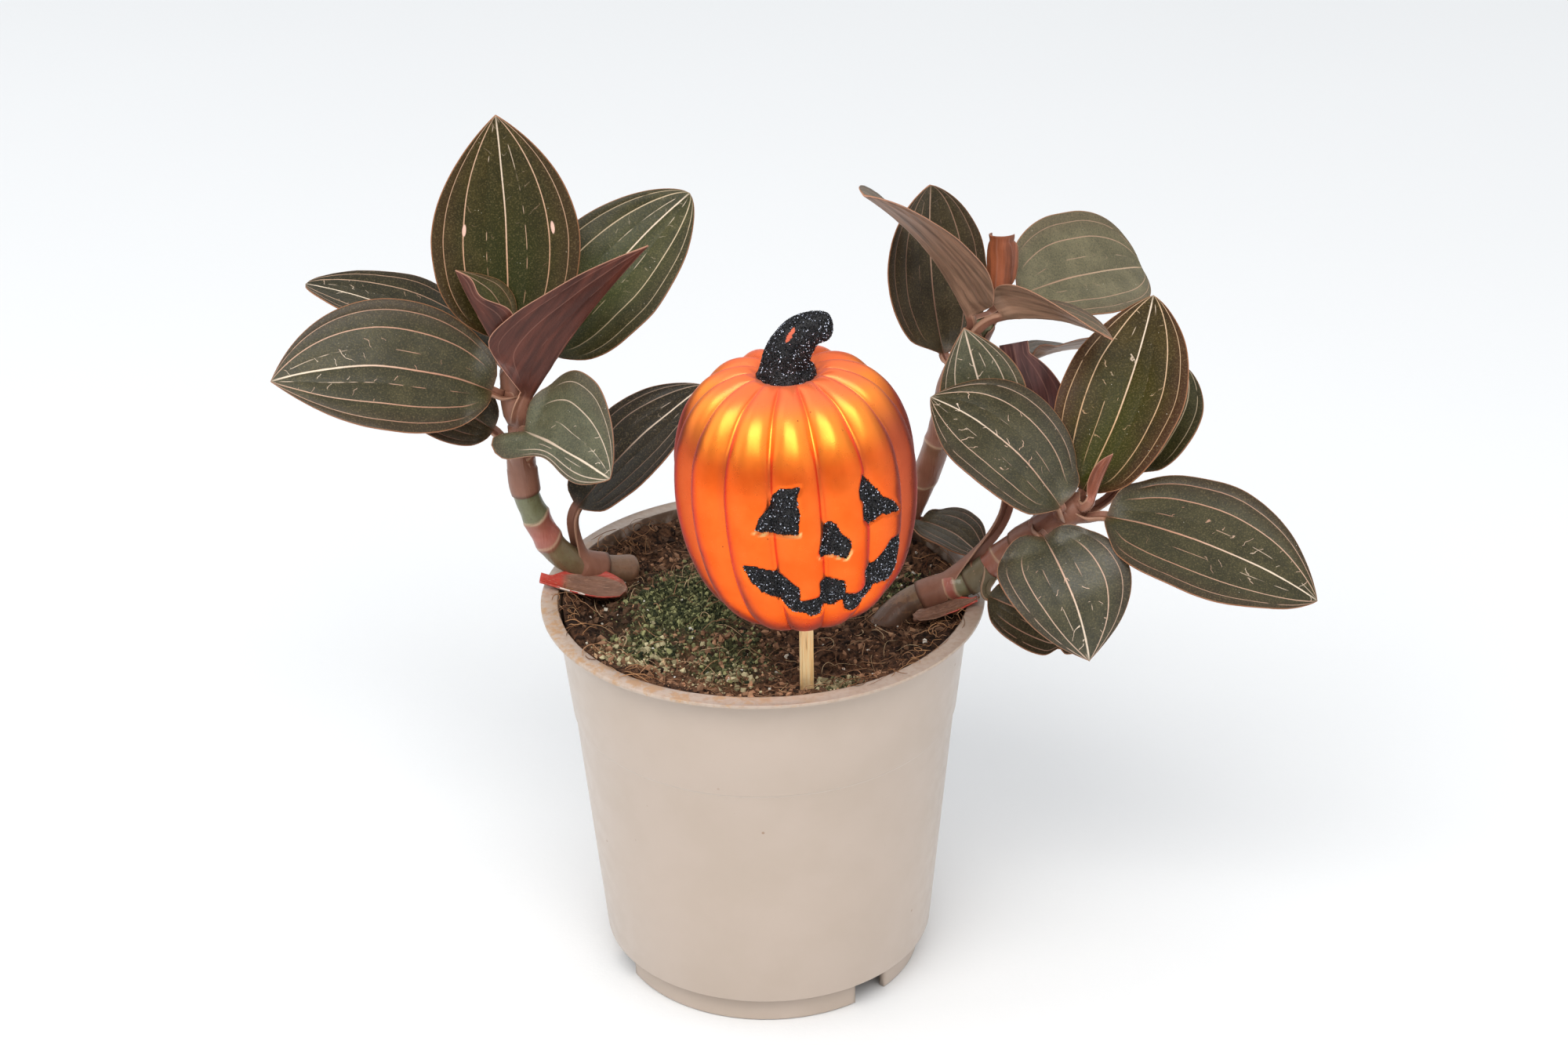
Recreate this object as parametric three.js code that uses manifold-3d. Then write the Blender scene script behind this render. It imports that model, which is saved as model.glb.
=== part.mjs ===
// A jewel orchid (Ludisia type) in a tapered plastic nursery pot, with a glittered pumpkin on a
// wooden stick stood in the soil as decoration. Millimetres, +Z up, front towards -Y.
// The origin is the middle of the pot's underside, on the surface that the pot stands on.
import * as THREE from "three";
import { mergeVertices } from "three/addons/utils/BufferGeometryUtils.js";
import Module from "manifold-3d";

const wasm = await Module();
wasm.setup();

// ---------------------------------------------------------------- driving dimensions
const GAP = 0.3; // clearance between two pieces that touch

const POT = {
  height: 110.5,
  lipRadius: 60,
  lipThickness: 1.1,
  mouthRadius: 55.3, // inner edge of the lip
  wallTopRadius: 56, // outside of the wall, just under the lip
  stepHeight: 78.7, // fine ring where the wall steps in
  stepRadius: 52.6,
  stepIn: 0.45,
  shoulderHeight: 8.35,
  shoulderRadius: 45.65,
  footRadius: 42.3,
  footThickness: 1.8,
  wall: 1.2,
  floorThickness: 1.6,
  padRadius: 12, // flat pad in the middle of the underside, level with the foot
  segments: 48,
};
const NOTCHES = [41, -70.5, 165]; // middles of the gaps in the foot, degrees from the front
const NOTCH_WIDTH = 15; // degrees

const SOIL = {
  level: 105, // soil at the pot's middle, where nothing is mounded
  rings: [51.5, 47, 40, 32, 24, 16, 8],
  segments: 32,
  mound: { x: -20, y: 2, height: 2.6, spread: 17 },
};

const STICK = { x: 11, y: -44, side: 3.6, bottom: 45, top: 148 };

const PUMPKIN = {
  x: 10.9,
  y: -44,
  bottom: 129.4, // where the stick enters
  lean: -3.2, // degrees, top towards -X
  ribs: 14,
  grooveAngle: 13, // degrees from the front to the first groove on the right
  grooveDepth: 0.085,
  segmentsPerRib: 4,
  // half section without ribs: [radius, height over the bottom]
  profile: [
    [0, 0.6], [5, 0.1], [12, 1.2], [19, 4.8], [24.4, 11], [28, 19.5], [30.2, 30], [30.8, 40],
    [29.8, 49.5], [26.6, 58], [21.4, 64.4], [15.6, 67.6], [10.6, 68.4], [6.4, 66.4], [0, 65.6],
  ],
};
const PUMPKIN_STEM = {
  route: [[-0.3, 67.5], [-0.3, 69.6], [0.9, 73.4], [3.3, 77.3], [6.8, 79.6], [10.4, 79.8]], // [x, z]
  radii: [7, 5.9, 5.5, 5, 4.3, 3.4],
  sides: 10,
};
// Glittered face: outlines as [degrees from the front, height over the bottom].
const FACE = {
  height: 1.1, // how far the pieces stand out of the body
  outlines: {
    eye_left: [
      [-20, 38.5], [-18, 41.8], [-13.5, 44.2], [-11.5, 47.5], [-6.5, 49.8], [2.9, 50.1], [0.7, 48],
      [1.4, 43.2], [0, 37.8], [-13.7, 37.6],
    ],
    eye_right: [
      [36, 49.2], [43, 44.3], [46, 41.6], [50.5, 39.7], [57.5, 35.7], [44, 37.2], [38, 35.2],
      [33, 38], [34, 42.5], [31.9, 44], [32.3, 46.3],
    ],
    nose: [
      [15.8, 39.6], [18.5, 38.8], [20.5, 36.3], [24.5, 33.8], [24.8, 31.5], [22.6, 29.2],
      [16.6, 30.4], [10.5, 30.2], [9.9, 31.7], [12, 34.5], [13.6, 39],
    ],
    mouth: [
      [-28.7, 27.8], [-23.5, 28.3], [-17, 27], [-8.3, 25], [-1.5, 21.7], [-2, 17.3], [8.8, 17.6],
      [10.3, 19.1], [9.7, 22.5], [14.8, 23.3], [22, 21.8], [22.6, 17.8], [29.2, 16.4],
      [36.5, 16.6], [38.3, 17.9], [35.4, 22.4], [41, 23.6], [45.3, 26], [49.5, 29.1],
      [56.3, 28.8], [64.3, 25.3], [66, 21.5], [62, 17.8], [54, 16], [44, 16.8], [41, 13.5],
      [38, 10.6], [30.7, 10.4], [24.3, 12.2], [22, 15.2], [19, 15.8], [17.5, 14], [11.4, 14.5],
      [9.6, 11.8], [4.2, 11.8], [-1, 13.4], [-6.7, 13.5], [-14.6, 18.4], [-21, 20.3], [-26.3, 23.8],
    ],
  },
};

// ---------------------------------------------------------------- solids
const toRad = THREE.MathUtils.degToRad;
const vec = (p) => new THREE.Vector3(...p);

// A closed mesh from corner points and triangles, turned so that its faces point out.
function closedGeometry(points, triangles) {
  const geometry = new THREE.BufferGeometry();
  geometry.setAttribute(
    "position",
    new THREE.Float32BufferAttribute(points.flatMap((p) => [p.x, p.y, p.z]), 3),
  );
  const volume = triangles.reduce(
    (sum, [a, b, c]) => sum + points[a].dot(points[b].clone().cross(points[c])),
    0,
  );
  geometry.setIndex(triangles.flatMap(([a, b, c]) => (volume < 0 ? [a, c, b] : [a, b, c])));
  return geometry;
}

// Skin over rings of equal point count. A ring lists its upper points from left to right, then
// its lower points from right to left, and both faces of a blade are split along one diagonal.
function loft(rings) {
  const count = rings[0].length;
  const half = count / 2;
  const points = rings.flat();
  const triangles = [];
  for (let j = 0; j + 1 < rings.length; j++)
    for (let i = 0; i < count; i++) {
      const a = j * count + i;
      const b = j * count + ((i + 1) % count);
      const [c, d] = [a + count, b + count];
      if (i < half) triangles.push([a, b, d], [a, d, c]);
      else triangles.push([a, b, c], [b, d, c]);
    }
  const last = (rings.length - 1) * count;
  for (let i = 0; i + 1 < half; i++) {
    const [p, q] = [count - 1 - i, count - 2 - i];
    triangles.push([i, p, q], [i, q, i + 1]);
    triangles.push([last + i, last + q, last + p], [last + i, last + i + 1, last + q]);
  }
  return closedGeometry(points, triangles);
}

// Round tube along a centre line, with pointed ends closed by a fan.
function tube(line, radii, sides) {
  const points = [];
  const triangles = [];
  const up = new THREE.Vector3(0, -1, 0);
  line.forEach((centre, j) => {
    const ahead = line[Math.min(j + 1, line.length - 1)];
    const tangent = ahead.clone().sub(line[Math.max(j - 1, 0)]).normalize();
    up.addScaledVector(tangent, -up.dot(tangent)).normalize();
    const side = tangent.clone().cross(up);
    for (let i = 0; i < sides; i++) {
      const angle = (2 * Math.PI * i) / sides;
      points.push(
        centre
          .clone()
          .addScaledVector(up, radii[j] * Math.cos(angle))
          .addScaledVector(side, radii[j] * Math.sin(angle)),
      );
    }
  });
  for (let j = 0; j + 1 < line.length; j++)
    for (let i = 0; i < sides; i++) {
      const [a, b] = [j * sides + i, j * sides + ((i + 1) % sides)];
      triangles.push([a, b, b + sides], [a, b + sides, a + sides]);
    }
  const last = (line.length - 1) * sides;
  for (let i = 1; i + 1 < sides; i++) {
    triangles.push([0, i + 1, i]);
    triangles.push([last, last + i, last + i + 1]);
  }
  return closedGeometry(points, triangles);
}

// Surface of revolution-like solid: rows of points round the Z axis, closed at both poles.
function shell(rows, bottom, top) {
  const count = rows[0].length;
  const points = [...rows.flat(), bottom, top];
  const [low, high] = [points.length - 2, points.length - 1];
  const triangles = [];
  const last = (rows.length - 1) * count;
  for (let i = 0; i < count; i++) {
    const next = (i + 1) % count;
    triangles.push([low, next, i], [high, last + i, last + next]);
    for (let j = 0; j + 1 < rows.length; j++) {
      const [a, b] = [j * count + i, j * count + next];
      triangles.push([a, b, b + count], [a, b + count, a + count]);
    }
  }
  return closedGeometry(points, triangles);
}

function solid(geometry) {
  const bare = new THREE.BufferGeometry();
  bare.setAttribute("position", geometry.getAttribute("position"));
  bare.setIndex(geometry.index);
  const merged = mergeVertices(bare, 1e-4);
  return new wasm.Manifold(
    new wasm.Mesh({
      numProp: 3,
      vertProperties: merged.attributes.position.array,
      triVerts: new Uint32Array(merged.index.array),
    }),
  );
}

function geometryOf(manifold) {
  const { vertProperties, triVerts } = manifold.getMesh();
  const geometry = new THREE.BufferGeometry();
  geometry.setAttribute("position", new THREE.BufferAttribute(vertProperties, 3));
  geometry.setIndex(new THREE.BufferAttribute(triVerts, 1));
  return geometry;
}

// The largest body left after a cut.
function largest(manifold) {
  return manifold.decompose().sort((a, b) => b.volume() - a.volume())[0];
}

const part = new THREE.Group();

function addMesh(name, geometry, look, parent = part) {
  const flat = geometry.index ? geometry.toNonIndexed() : geometry;
  flat.computeVertexNormals();
  const mesh = new THREE.Mesh(flat, new THREE.MeshStandardMaterial(look));
  mesh.name = name;
  parent.add(mesh);
  return mesh;
}

const LOOKS = {
  pot: { color: 0xcbbcae, roughness: 0.55, metalness: 0 },
  soil: { color: 0x3a2a1e, roughness: 1, metalness: 0 },
  stem: { color: 0x7d6a58, roughness: 0.6, metalness: 0 },
  leaf: { color: 0x3c3d2c, roughness: 0.65, metalness: 0, side: THREE.DoubleSide },
  youngLeaf: { color: 0x7a4638, roughness: 0.6, metalness: 0, side: THREE.DoubleSide },
  sheath: { color: 0xa04a3c, roughness: 0.7, metalness: 0, side: THREE.DoubleSide },
  wood: { color: 0xd9b98a, roughness: 0.7, metalness: 0 },
  pumpkin: { color: 0xe8641e, roughness: 0.3, metalness: 0.55 },
  glitter: { color: 0x15151a, roughness: 0.6, metalness: 0.2 },
};

// ---------------------------------------------------------------- pot
function wallRadius(z) {
  const { stepHeight, stepRadius, stepIn, shoulderHeight, shoulderRadius } = POT;
  if (z >= stepHeight) {
    const rise = (z - stepHeight) / (POT.height - POT.lipThickness - stepHeight);
    return stepRadius + (POT.wallTopRadius - stepRadius) * rise;
  }
  const fall = (z - shoulderHeight) / (stepHeight - shoulderHeight);
  return shoulderRadius + (stepRadius - stepIn - shoulderRadius) * fall;
}

function potGeometry() {
  const { height, lipRadius, lipThickness, stepHeight, shoulderHeight, wall } = POT;
  const { footRadius, footThickness, padRadius, floorThickness, segments } = POT;
  const floor = shoulderHeight - floorThickness;
  const profile = [
    [0, 0],
    [padRadius, 0],
    [padRadius + 1, floor],
    [footRadius - footThickness, floor],
    [footRadius - footThickness, 0],
    [footRadius, 0],
    [footRadius, shoulderHeight],
    [POT.shoulderRadius, shoulderHeight],
    [wallRadius(stepHeight - 0.5), stepHeight - 0.5],
    [POT.stepRadius, stepHeight],
    [POT.wallTopRadius, height - lipThickness],
    [lipRadius, height - lipThickness],
    [lipRadius, height],
    [POT.mouthRadius, height],
    [POT.wallTopRadius - wall, height - 2],
    [wallRadius(stepHeight - 0.5) - wall, stepHeight - 1],
    [POT.shoulderRadius - wall, shoulderHeight + 0.4],
    [0, shoulderHeight + 0.4],
  ];
  const lathe = new THREE.LatheGeometry(profile.map(([r, z]) => new THREE.Vector2(r, z)), segments);
  lathe.rotateX(Math.PI / 2);
  return lathe;
}

// Block that fills a sector of the foot, from below the floor to past the ring.
function notchGeometry(middle) {
  const depth = POT.shoulderHeight - POT.floorThickness - 0.4;
  const [inner, outer] = [POT.footRadius - POT.footThickness - 2, POT.footRadius + 2];
  const corners = [-0.5, 0.5].flatMap((side) => {
    const angle = toRad(middle + side * NOTCH_WIDTH);
    const way = new THREE.Vector2(Math.sin(angle), -Math.cos(angle));
    return [way.clone().multiplyScalar(inner), way.clone().multiplyScalar(outer)];
  });
  const outline = new THREE.Shape([corners[0], corners[1], corners[3], corners[2]]);
  const block = new THREE.ExtrudeGeometry(outline, { depth: depth + 1, bevelEnabled: false });
  block.translate(0, 0, -1);
  return block;
}

function buildPot() {
  let pot = solid(potGeometry());
  for (const middle of NOTCHES) pot = pot.subtract(solid(notchGeometry(middle)));
  addMesh("pot", geometryOf(pot), LOOKS.pot);
}

// ---------------------------------------------------------------- stems
// Centre lines run from the root end to the growing tip; radii follow the same fractions.
const STEMS = {
  stem_left: {
    route: [
      [-34.5, 19.5, 107.6], [-42.4, 17, 109.8], [-49.5, 13.8, 113], [-55.4, 11.5, 118.4],
      [-59.8, 10.5, 127], [-63, 9.5, 137.2], [-63.8, 9, 146.5], [-63, 8.5, 157], [-64, 8.5, 166],
      [-64.6, 9, 175],
    ],
    radii: [3.9, 3.1],
  },
  stem_back: {
    route: [
      [33, 34, 92], [35.5, 34, 104], [42, 31.5, 121], [46, 29.5, 132], [49, 28, 142],
      [50.4, 27.5, 149.5], [52.5, 26, 159.6], [56.5, 24, 169.7], [60.4, 22, 179.7],
    ],
    radii: [3.9, 3],
  },
  stem_right: {
    route: [
      [27, -5, 97], [33, -5.5, 103.5], [38, -4, 107.8], [44, -3.8, 111.2], [50, -4.3, 113.6],
      [55.2, -4.5, 115.4], [61, -5, 120], [65.6, -5.5, 125], [74.5, -8.9, 133], [80.5, -9.8, 138],
      [84.5, -9.6, 140.6],
    ],
    radii: [3.9, 3],
  },
};
const STEM_STEPS = 16;
const STEM_SIDES = 10;

function stemCurve(name) {
  return new THREE.CatmullRomCurve3(STEMS[name].route.map(vec), false, "centripetal");
}

function stemRadius(name, at) {
  const [root, tip] = STEMS[name].radii;
  return root + (tip - root) * at;
}

function stemGeometry(name, extra = 0) {
  const curve = stemCurve(name);
  const line = curve.getSpacedPoints(STEM_STEPS);
  const radii = line.map((_, i) => {
    const rounding = i === STEM_STEPS && !extra ? 0.8 : 1;
    return stemRadius(name, i / STEM_STEPS) * rounding + extra;
  });
  if (extra) {
    // the cutter also runs past both ends
    const [first, last] = [line[0], line[STEM_STEPS]];
    line[0] = first.clone().addScaledVector(curve.getTangent(0), -extra);
    line[STEM_STEPS] = last.clone().addScaledVector(curve.getTangent(1), extra);
  }
  return tube(line, radii, STEM_SIDES);
}

const stemCutters = {};
function buildStems() {
  for (const name of Object.keys(STEMS)) {
    addMesh(name, stemGeometry(name), LOOKS.stem);
    stemCutters[name] = solid(stemGeometry(name, GAP));
  }
}

// ---------------------------------------------------------------- leaves
// A leaf is one loft: a channelled stalk that leaves its stem at the fraction `at` of the
// stem's length, then the blade from `base` to `tip`. `face` is the way the upper side looks.
// `left` and `right` are how far each half is folded up from flat, in degrees, at the blade's
// base and at its tip, `dip` is what each fold gains halfway, and `cup` bends each half further
// towards its margin. `bow` arches the
// midrib towards the upper side and `side` towards the right-hand margin. `halves` are shares of
// the half width, `widest` is where each half reaches it, and `lobe` sweeps each margin back past
// the base. `power` and `round` shape the margin towards the tip: a lower `round` is a rounder tip.
// A `blunt` leaf keeps that half width to its open end, and `stalk` is the stalk's own. Each of
// the `nicks` takes a share `depth` off one half round the fraction `at`.
const LEAVES = [
  // stem_left
  { name: "leaf_left_tall", stem: "stem_left", at: 0.99, base: [-66, 15, 180.5], tip: [-67, 28, 238.3],
    face: [0.05, -0.9, 0.42], width: 41, bow: -3, side: 0.9, left: [16, 8], right: [16, 8],
    widest: [0.42, 0.44], round: 0.9 },
  { name: "leaf_left_back", stem: "stem_left", at: 0.95, base: [-56.5, 25, 172.5], tip: [-17.5, 46, 208.3],
    face: [-0.1, -0.75, 0.6], width: 38, bow: 3, side: -0.8, left: [12, 8], right: [12, 8],
    halves: [0.9, 1], widest: [0.42, 0.46], power: 1.45, round: 0.66 },
  { name: "leaf_left_folded", stem: "stem_left", at: 0.8, base: [-60.5, 3, 169.5], tip: [-28, 10, 208.5],
    face: [-0.6, 0.2, 0.75], width: 36, bow: 1, left: [60, 50], right: [76, 62], lobe: [0.1, 0.2],
    halves: [0.78, 1], widest: [0.22, 0.16], power: 1.4, stalk: 3.6, young: true },
  { name: "leaf_left_furled", stem: "stem_left", at: 0.98, base: [-67, 6, 182], tip: [-78, 9, 203],
    face: [0.6, 0.4, 0.7], width: 24, bow: -1, left: [64, 54], right: [60, 50], halves: [0.75, 1], young: true },
  { name: "leaf_left_wide", stem: "stem_left", at: 0.9, base: [-70.5, 3, 171], tip: [-126, -8, 180],
    face: [0.1, -0.72, 0.69], width: 36.5, bow: 5, side: 3.6, left: [4, 2], right: [4, 2],
    power: 2.2, round: 0.95 },
  { name: "leaf_left_far", stem: "stem_left", at: 0.93, base: [-70, 18, 173.5], tip: [-120, 27, 192],
    face: [0.25, -0.1, 0.96], width: 32, bow: 3, left: [6, 4], right: [6, 4], power: 1.5, round: 0.6 },
  { name: "leaf_left_under", stem: "stem_left", at: 0.68, base: [-71.5, 11, 156], tip: [-99.5, 12, 174],
    face: [0.2, -0.75, 0.6], width: 22, bow: 2, left: [6, 4], right: [6, 4] },
  { name: "leaf_left_curled", stem: "stem_left", at: 0.64, base: [-61.5, -1.5, 161], tip: [-38.5, -27, 159.5],
    face: [0.15, -0.8, 0.58], width: 40, bow: 3, left: [14, 18], right: [-5, -25],
    dip: [0, -30], widest: [0.4, 0.12], halves: [1, 0.62], lobe: [0.15, 0.95],
    nicks: [{ half: 1, at: 0.35, depth: 0.6, span: 0.28 }], round: 0.78 },
  { name: "leaf_left_low", stem: "stem_left", at: 0.2, base: [-49, 14, 131], tip: [-14.5, 25, 161],
    face: [-0.5, -0.55, 0.67], width: 27, bow: 3, left: [6, 4], right: [6, 4], stalk: 2.2, round: 0.85 },
  // stem_back
  { name: "leaf_back_tall", stem: "stem_back", at: 0.8, base: [50, 30, 167], tip: [47, 42, 211],
    face: [0.5, -0.75, 0.35], width: 33, bow: -3, left: [10, 8], right: [10, 8], power: 2.2, round: 0.7 },
  { name: "leaf_back_edge", stem: "stem_back", at: 0.95, base: [56, 17.5, 184], tip: [28, 7, 222.5],
    face: [0.63, 0.39, 0.67], width: 35, bow: 3, left: [14, 8], right: [14, 8], power: 2.6, round: 0.5 },
  { name: "leaf_back_furled", stem: "stem_back", at: 0.99, base: [64, 24, 187.5], tip: [64, 27, 202],
    face: [0.4, 0.9, 0], width: 14, bow: 0, left: [0, 0], right: [0, 0], cup: 110, blunt: 5.5, young: true },
  { name: "leaf_back_wide", stem: "stem_back", at: 0.92, base: [70.5, 30, 183.5], tip: [106, 54, 180.5],
    face: [-0.15, -0.7, 0.69], width: 37, bow: 3, side: -0.4, halves: [1, 0.8], left: [8, 6], right: [8, 6],
    widest: [0.45, 0.5], power: 2.6, round: 0.5 },
  { name: "leaf_back_front", stem: "stem_back", at: 0.84, base: [65.5, 12.5, 185.5], tip: [92, -4, 185.5],
    face: [0, 0.3, 0.95], width: 24, bow: 2, left: [12, 5], right: [56, 10], lobe: [0.1, 0.5],
    widest: [0.3, 0.3] },
  { name: "leaf_back_right", stem: "stem_back", at: 0.75, base: [73.5, 24, 168], tip: [99, 38, 160],
    face: [0, 0.45, 0.9], width: 28, bow: 3, left: [6, 4], right: [6, 4], power: 2.2, round: 0.7 },
  { name: "leaf_back_low", stem: "stem_back", at: 0.2, base: [44.5, 29, 116], tip: [60, 16, 111.8],
    face: [0.3, -0.3, 0.9], width: 20, bow: 2, left: [8, 6], right: [8, 6], round: 0.7 },
  // stem_right
  { name: "leaf_right_tall", stem: "stem_right", at: 1, base: [85.5, -5, 142.5], tip: [106, 26, 184.5],
    face: [-0.25, -0.72, 0.65], width: 34.5, bow: 3, side: 2.7, left: [12, 8], right: [12, 8], round: 0.85 },
  { name: "leaf_right_inner", stem: "stem_right", at: 0.9, base: [78, -15, 143], tip: [45, 0, 168],
    face: [0.35, -0.45, 0.82], width: 38, bow: 4, side: 1, left: [4, 2], right: [4, 2],
    widest: [0.54, 0.54], round: 0.85 },
  { name: "leaf_right_long", stem: "stem_right", at: 0.94, base: [91, -15, 139.3], tip: [144.5, -31, 121.8],
    face: [0.3, -0.5, 0.81], width: 38, bow: 5, side: -0.2, left: [5, 3], right: [5, 3],
    power: 2, round: 0.85 },
  { name: "leaf_right_front", stem: "stem_right", at: 0.8, base: [74, -19, 135.5], tip: [85, -35, 107.5],
    face: [0.1, -0.8, 0.6], width: 35.5, bow: 8, left: [6, 2], right: [6, 2], halves: [0.94, 1],
    widest: [0.44, 0.28], power: 1.75 },
  { name: "leaf_right_under", stem: "stem_right", at: 0.56, base: [60.5, -13, 115], tip: [88, -19, 102.5],
    face: [0, -0.7, 0.7], width: 20, bow: 2, left: [6, 4], right: [6, 4],
    nicks: [{ half: 1, at: 0.72, depth: 0.3, span: 0.05 }] },
  { name: "leaf_right_far", stem: "stem_right", at: 0.88, base: [98, 4, 143], tip: [115, 28, 163],
    face: [-0.2, -0.6, 0.75], width: 27, bow: 3, left: [6, 4], right: [6, 4], round: 0.8 },
  { name: "leaf_right_behind", stem: "stem_right", at: 0.38, base: [65.5, 3, 142], tip: [54.5, 13, 182],
    face: [0, -0.88, 0.45], width: 24, bow: -1.5, left: [10, 6], right: [10, 6], widest: [0.55, 0.55],
    stalk: 2 },
  { name: "leaf_right_purple", stem: "stem_right", at: 0.8, base: [74, 12, 144.5], tip: [68, 18, 175],
    face: [0, 0.9, 0.3], width: 23, bow: -2, left: [20, 10], right: [20, 10], blunt: 4, young: true },
  { name: "leaf_right_bud", stem: "stem_right", at: 0.975, base: [86.5, -14.7, 144.2], tip: [92, -12, 156.5],
    face: [0, 0.8, 0.4], width: 9, bow: 0, left: [60, 50], right: [60, 50], young: true },
];

// Old dry sheaths: boat-shaped skins without a stalk, lying against the foot of a stem.
const SHEATHS = [
  { name: "old_sheath_left", stem: "stem_left", base: [-38, 8, 107.6], tip: [-60, 8, 112.9],
    face: [0, 0.3, 0.95], width: 10, bow: -0.6, left: [35, 35], right: [35, 35], cup: 45, blunt: 1.6 },
  { name: "old_sheath_right", stem: "stem_right", base: [40.5, -9.5, 106.6], tip: [57.5, -10, 112.6],
    face: [0, 0.3, 0.95], width: 8, bow: -0.6, left: [35, 35], right: [35, 35], cup: 45, blunt: 1.2 },
];
const SHEATH_SECTIONS = [0, 0.1, 0.25, 0.45, 0.65, 0.85, 1];

const BLADE = {
  thickness: 0.75,
  widest: [0.46, 0.46], // fraction of the length where each half is widest
  tipPower: 1.95, // 2 is a blunt tip, 1 a straight one
  tipHalfWidth: 0.45,
  keel: 1.1, // how far the midrib stands out below, at the base
  keelHalfWidth: 2.2,
  sections: [0, 0.03, 0.09, 0.18, 0.29, 0.41, 0.54, 0.67, 0.79, 0.89, 0.96, 1],
  across: 4, // strips on each face
  lobe: [0.12, 0.12], // sweep of each margin at the base, of the half width
};
const STALK = {
  steps: 4,
  rootHalfWidth: 2.2,
  halfWidth: 1.6,
  handle: 0.38, // length of the curve's handles, of the distance from stem to blade
  turned: 0.4, // how far the root is already turned to face the way the blade does
  depth: 1.1,
  channel: 35, // degrees that each half of the stalk is folded up
};

const smooth = (x) => THREE.MathUtils.smoothstep(x, 0, 1);
const mix = THREE.MathUtils.lerp;

function halfWidthsAt(leaf, t) {
  const power = leaf.power ?? BLADE.tipPower;
  const least = mix(leaf.stalk ?? STALK.halfWidth, leaf.blunt ?? BLADE.tipHalfWidth, smooth(t));
  return (leaf.widest ?? BLADE.widest).map((widest, half) => {
    const full = (leaf.width / 2) * (leaf.halves ?? [1, 1])[half];
    let share =
      t < widest
        ? Math.sqrt(1 - (1 - t / widest) ** 2)
        : (1 - ((t - widest) / (1 - widest)) ** power) ** (leaf.round ?? 1);
    for (const nick of leaf.nicks ?? [])
      if (nick.half === half) share *= 1 - nick.depth * Math.exp(-(((t - nick.at) / nick.span) ** 2));
    return Math.max(full * share, least);
  });
}

// Centre line and frame of the blade at t: across, up and along.
function bladeFrame(leaf, t) {
  const base = vec(leaf.base);
  const chord = vec(leaf.tip).sub(base);
  const along = chord.clone().normalize();
  const face = vec(leaf.face);
  const up = face.clone().addScaledVector(along, -face.dot(along)).normalize();
  const arch = 4 * t * (1 - t);
  const slope = 4 * (1 - 2 * t);
  const bend = up.clone().multiplyScalar(leaf.bow);
  bend.addScaledVector(along.cross(up), leaf.side ?? 0);
  const centre = base.addScaledVector(chord, t).addScaledVector(bend, arch);
  const tangent = chord.clone().addScaledVector(bend, slope).normalize();
  const normal = face.addScaledVector(tangent, -face.dot(tangent)).normalize();
  return { centre, tangent, normal };
}

// Offsets across and up of the blade's mid-surface at s, for a half folded by `fold` and bent on
// by `cup` (radians), and `skin`, the offsets from there to its upper side.
function crossSection(s, halfWidth, fold, cup) {
  const reach = Math.abs(s);
  const middle = fold + (cup * reach) / 2;
  const tilt = s === 0 ? 0 : fold + cup * reach;
  const away = halfWidth * reach * Math.cos(middle);
  const room = 0.7 * Math.abs(away);
  const inward = THREE.MathUtils.clamp((Math.sin(tilt) * BLADE.thickness) / 2, -room, room);
  return {
    side: Math.sign(s) * away,
    rise: halfWidth * reach * Math.sin(middle),
    skin: [-Math.sign(s) * inward, (Math.cos(tilt) * BLADE.thickness) / 2],
  };
}

// Closed ring of points round a blade or stalk. Pairs hold the left half's value, then the right's.

function ringAt({ centre, tangent, normal }, halfWidths, folds, cup, keel, sweeps = [0, 0]) {
  const across = tangent.clone().cross(normal);
  const upper = [];
  const lower = [];
  for (let i = 0; i <= BLADE.across; i++) {
    const s = (2 * i) / BLADE.across - 1;
    const half = s < 0 ? 0 : 1;
    const halfWidth = halfWidths[half];
    const { side, rise, skin } = crossSection(s, halfWidth, folds[half], cup);
    const ridge = keel * Math.sqrt(Math.max(0, 1 - ((s * halfWidth) / BLADE.keelHalfWidth) ** 2));
    const point = centre.clone().addScaledVector(across, side).addScaledVector(normal, rise);
    point.addScaledVector(tangent, -sweeps[half] * halfWidth * Math.abs(s) ** 1.5);
    const toUpper = across.clone().multiplyScalar(skin[0]).addScaledVector(normal, skin[1]);
    upper.push(point.clone().add(toUpper));
    lower.unshift(point.sub(toUpper).addScaledVector(normal, -ridge));
  }
  return [...upper, ...lower];
}

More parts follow.
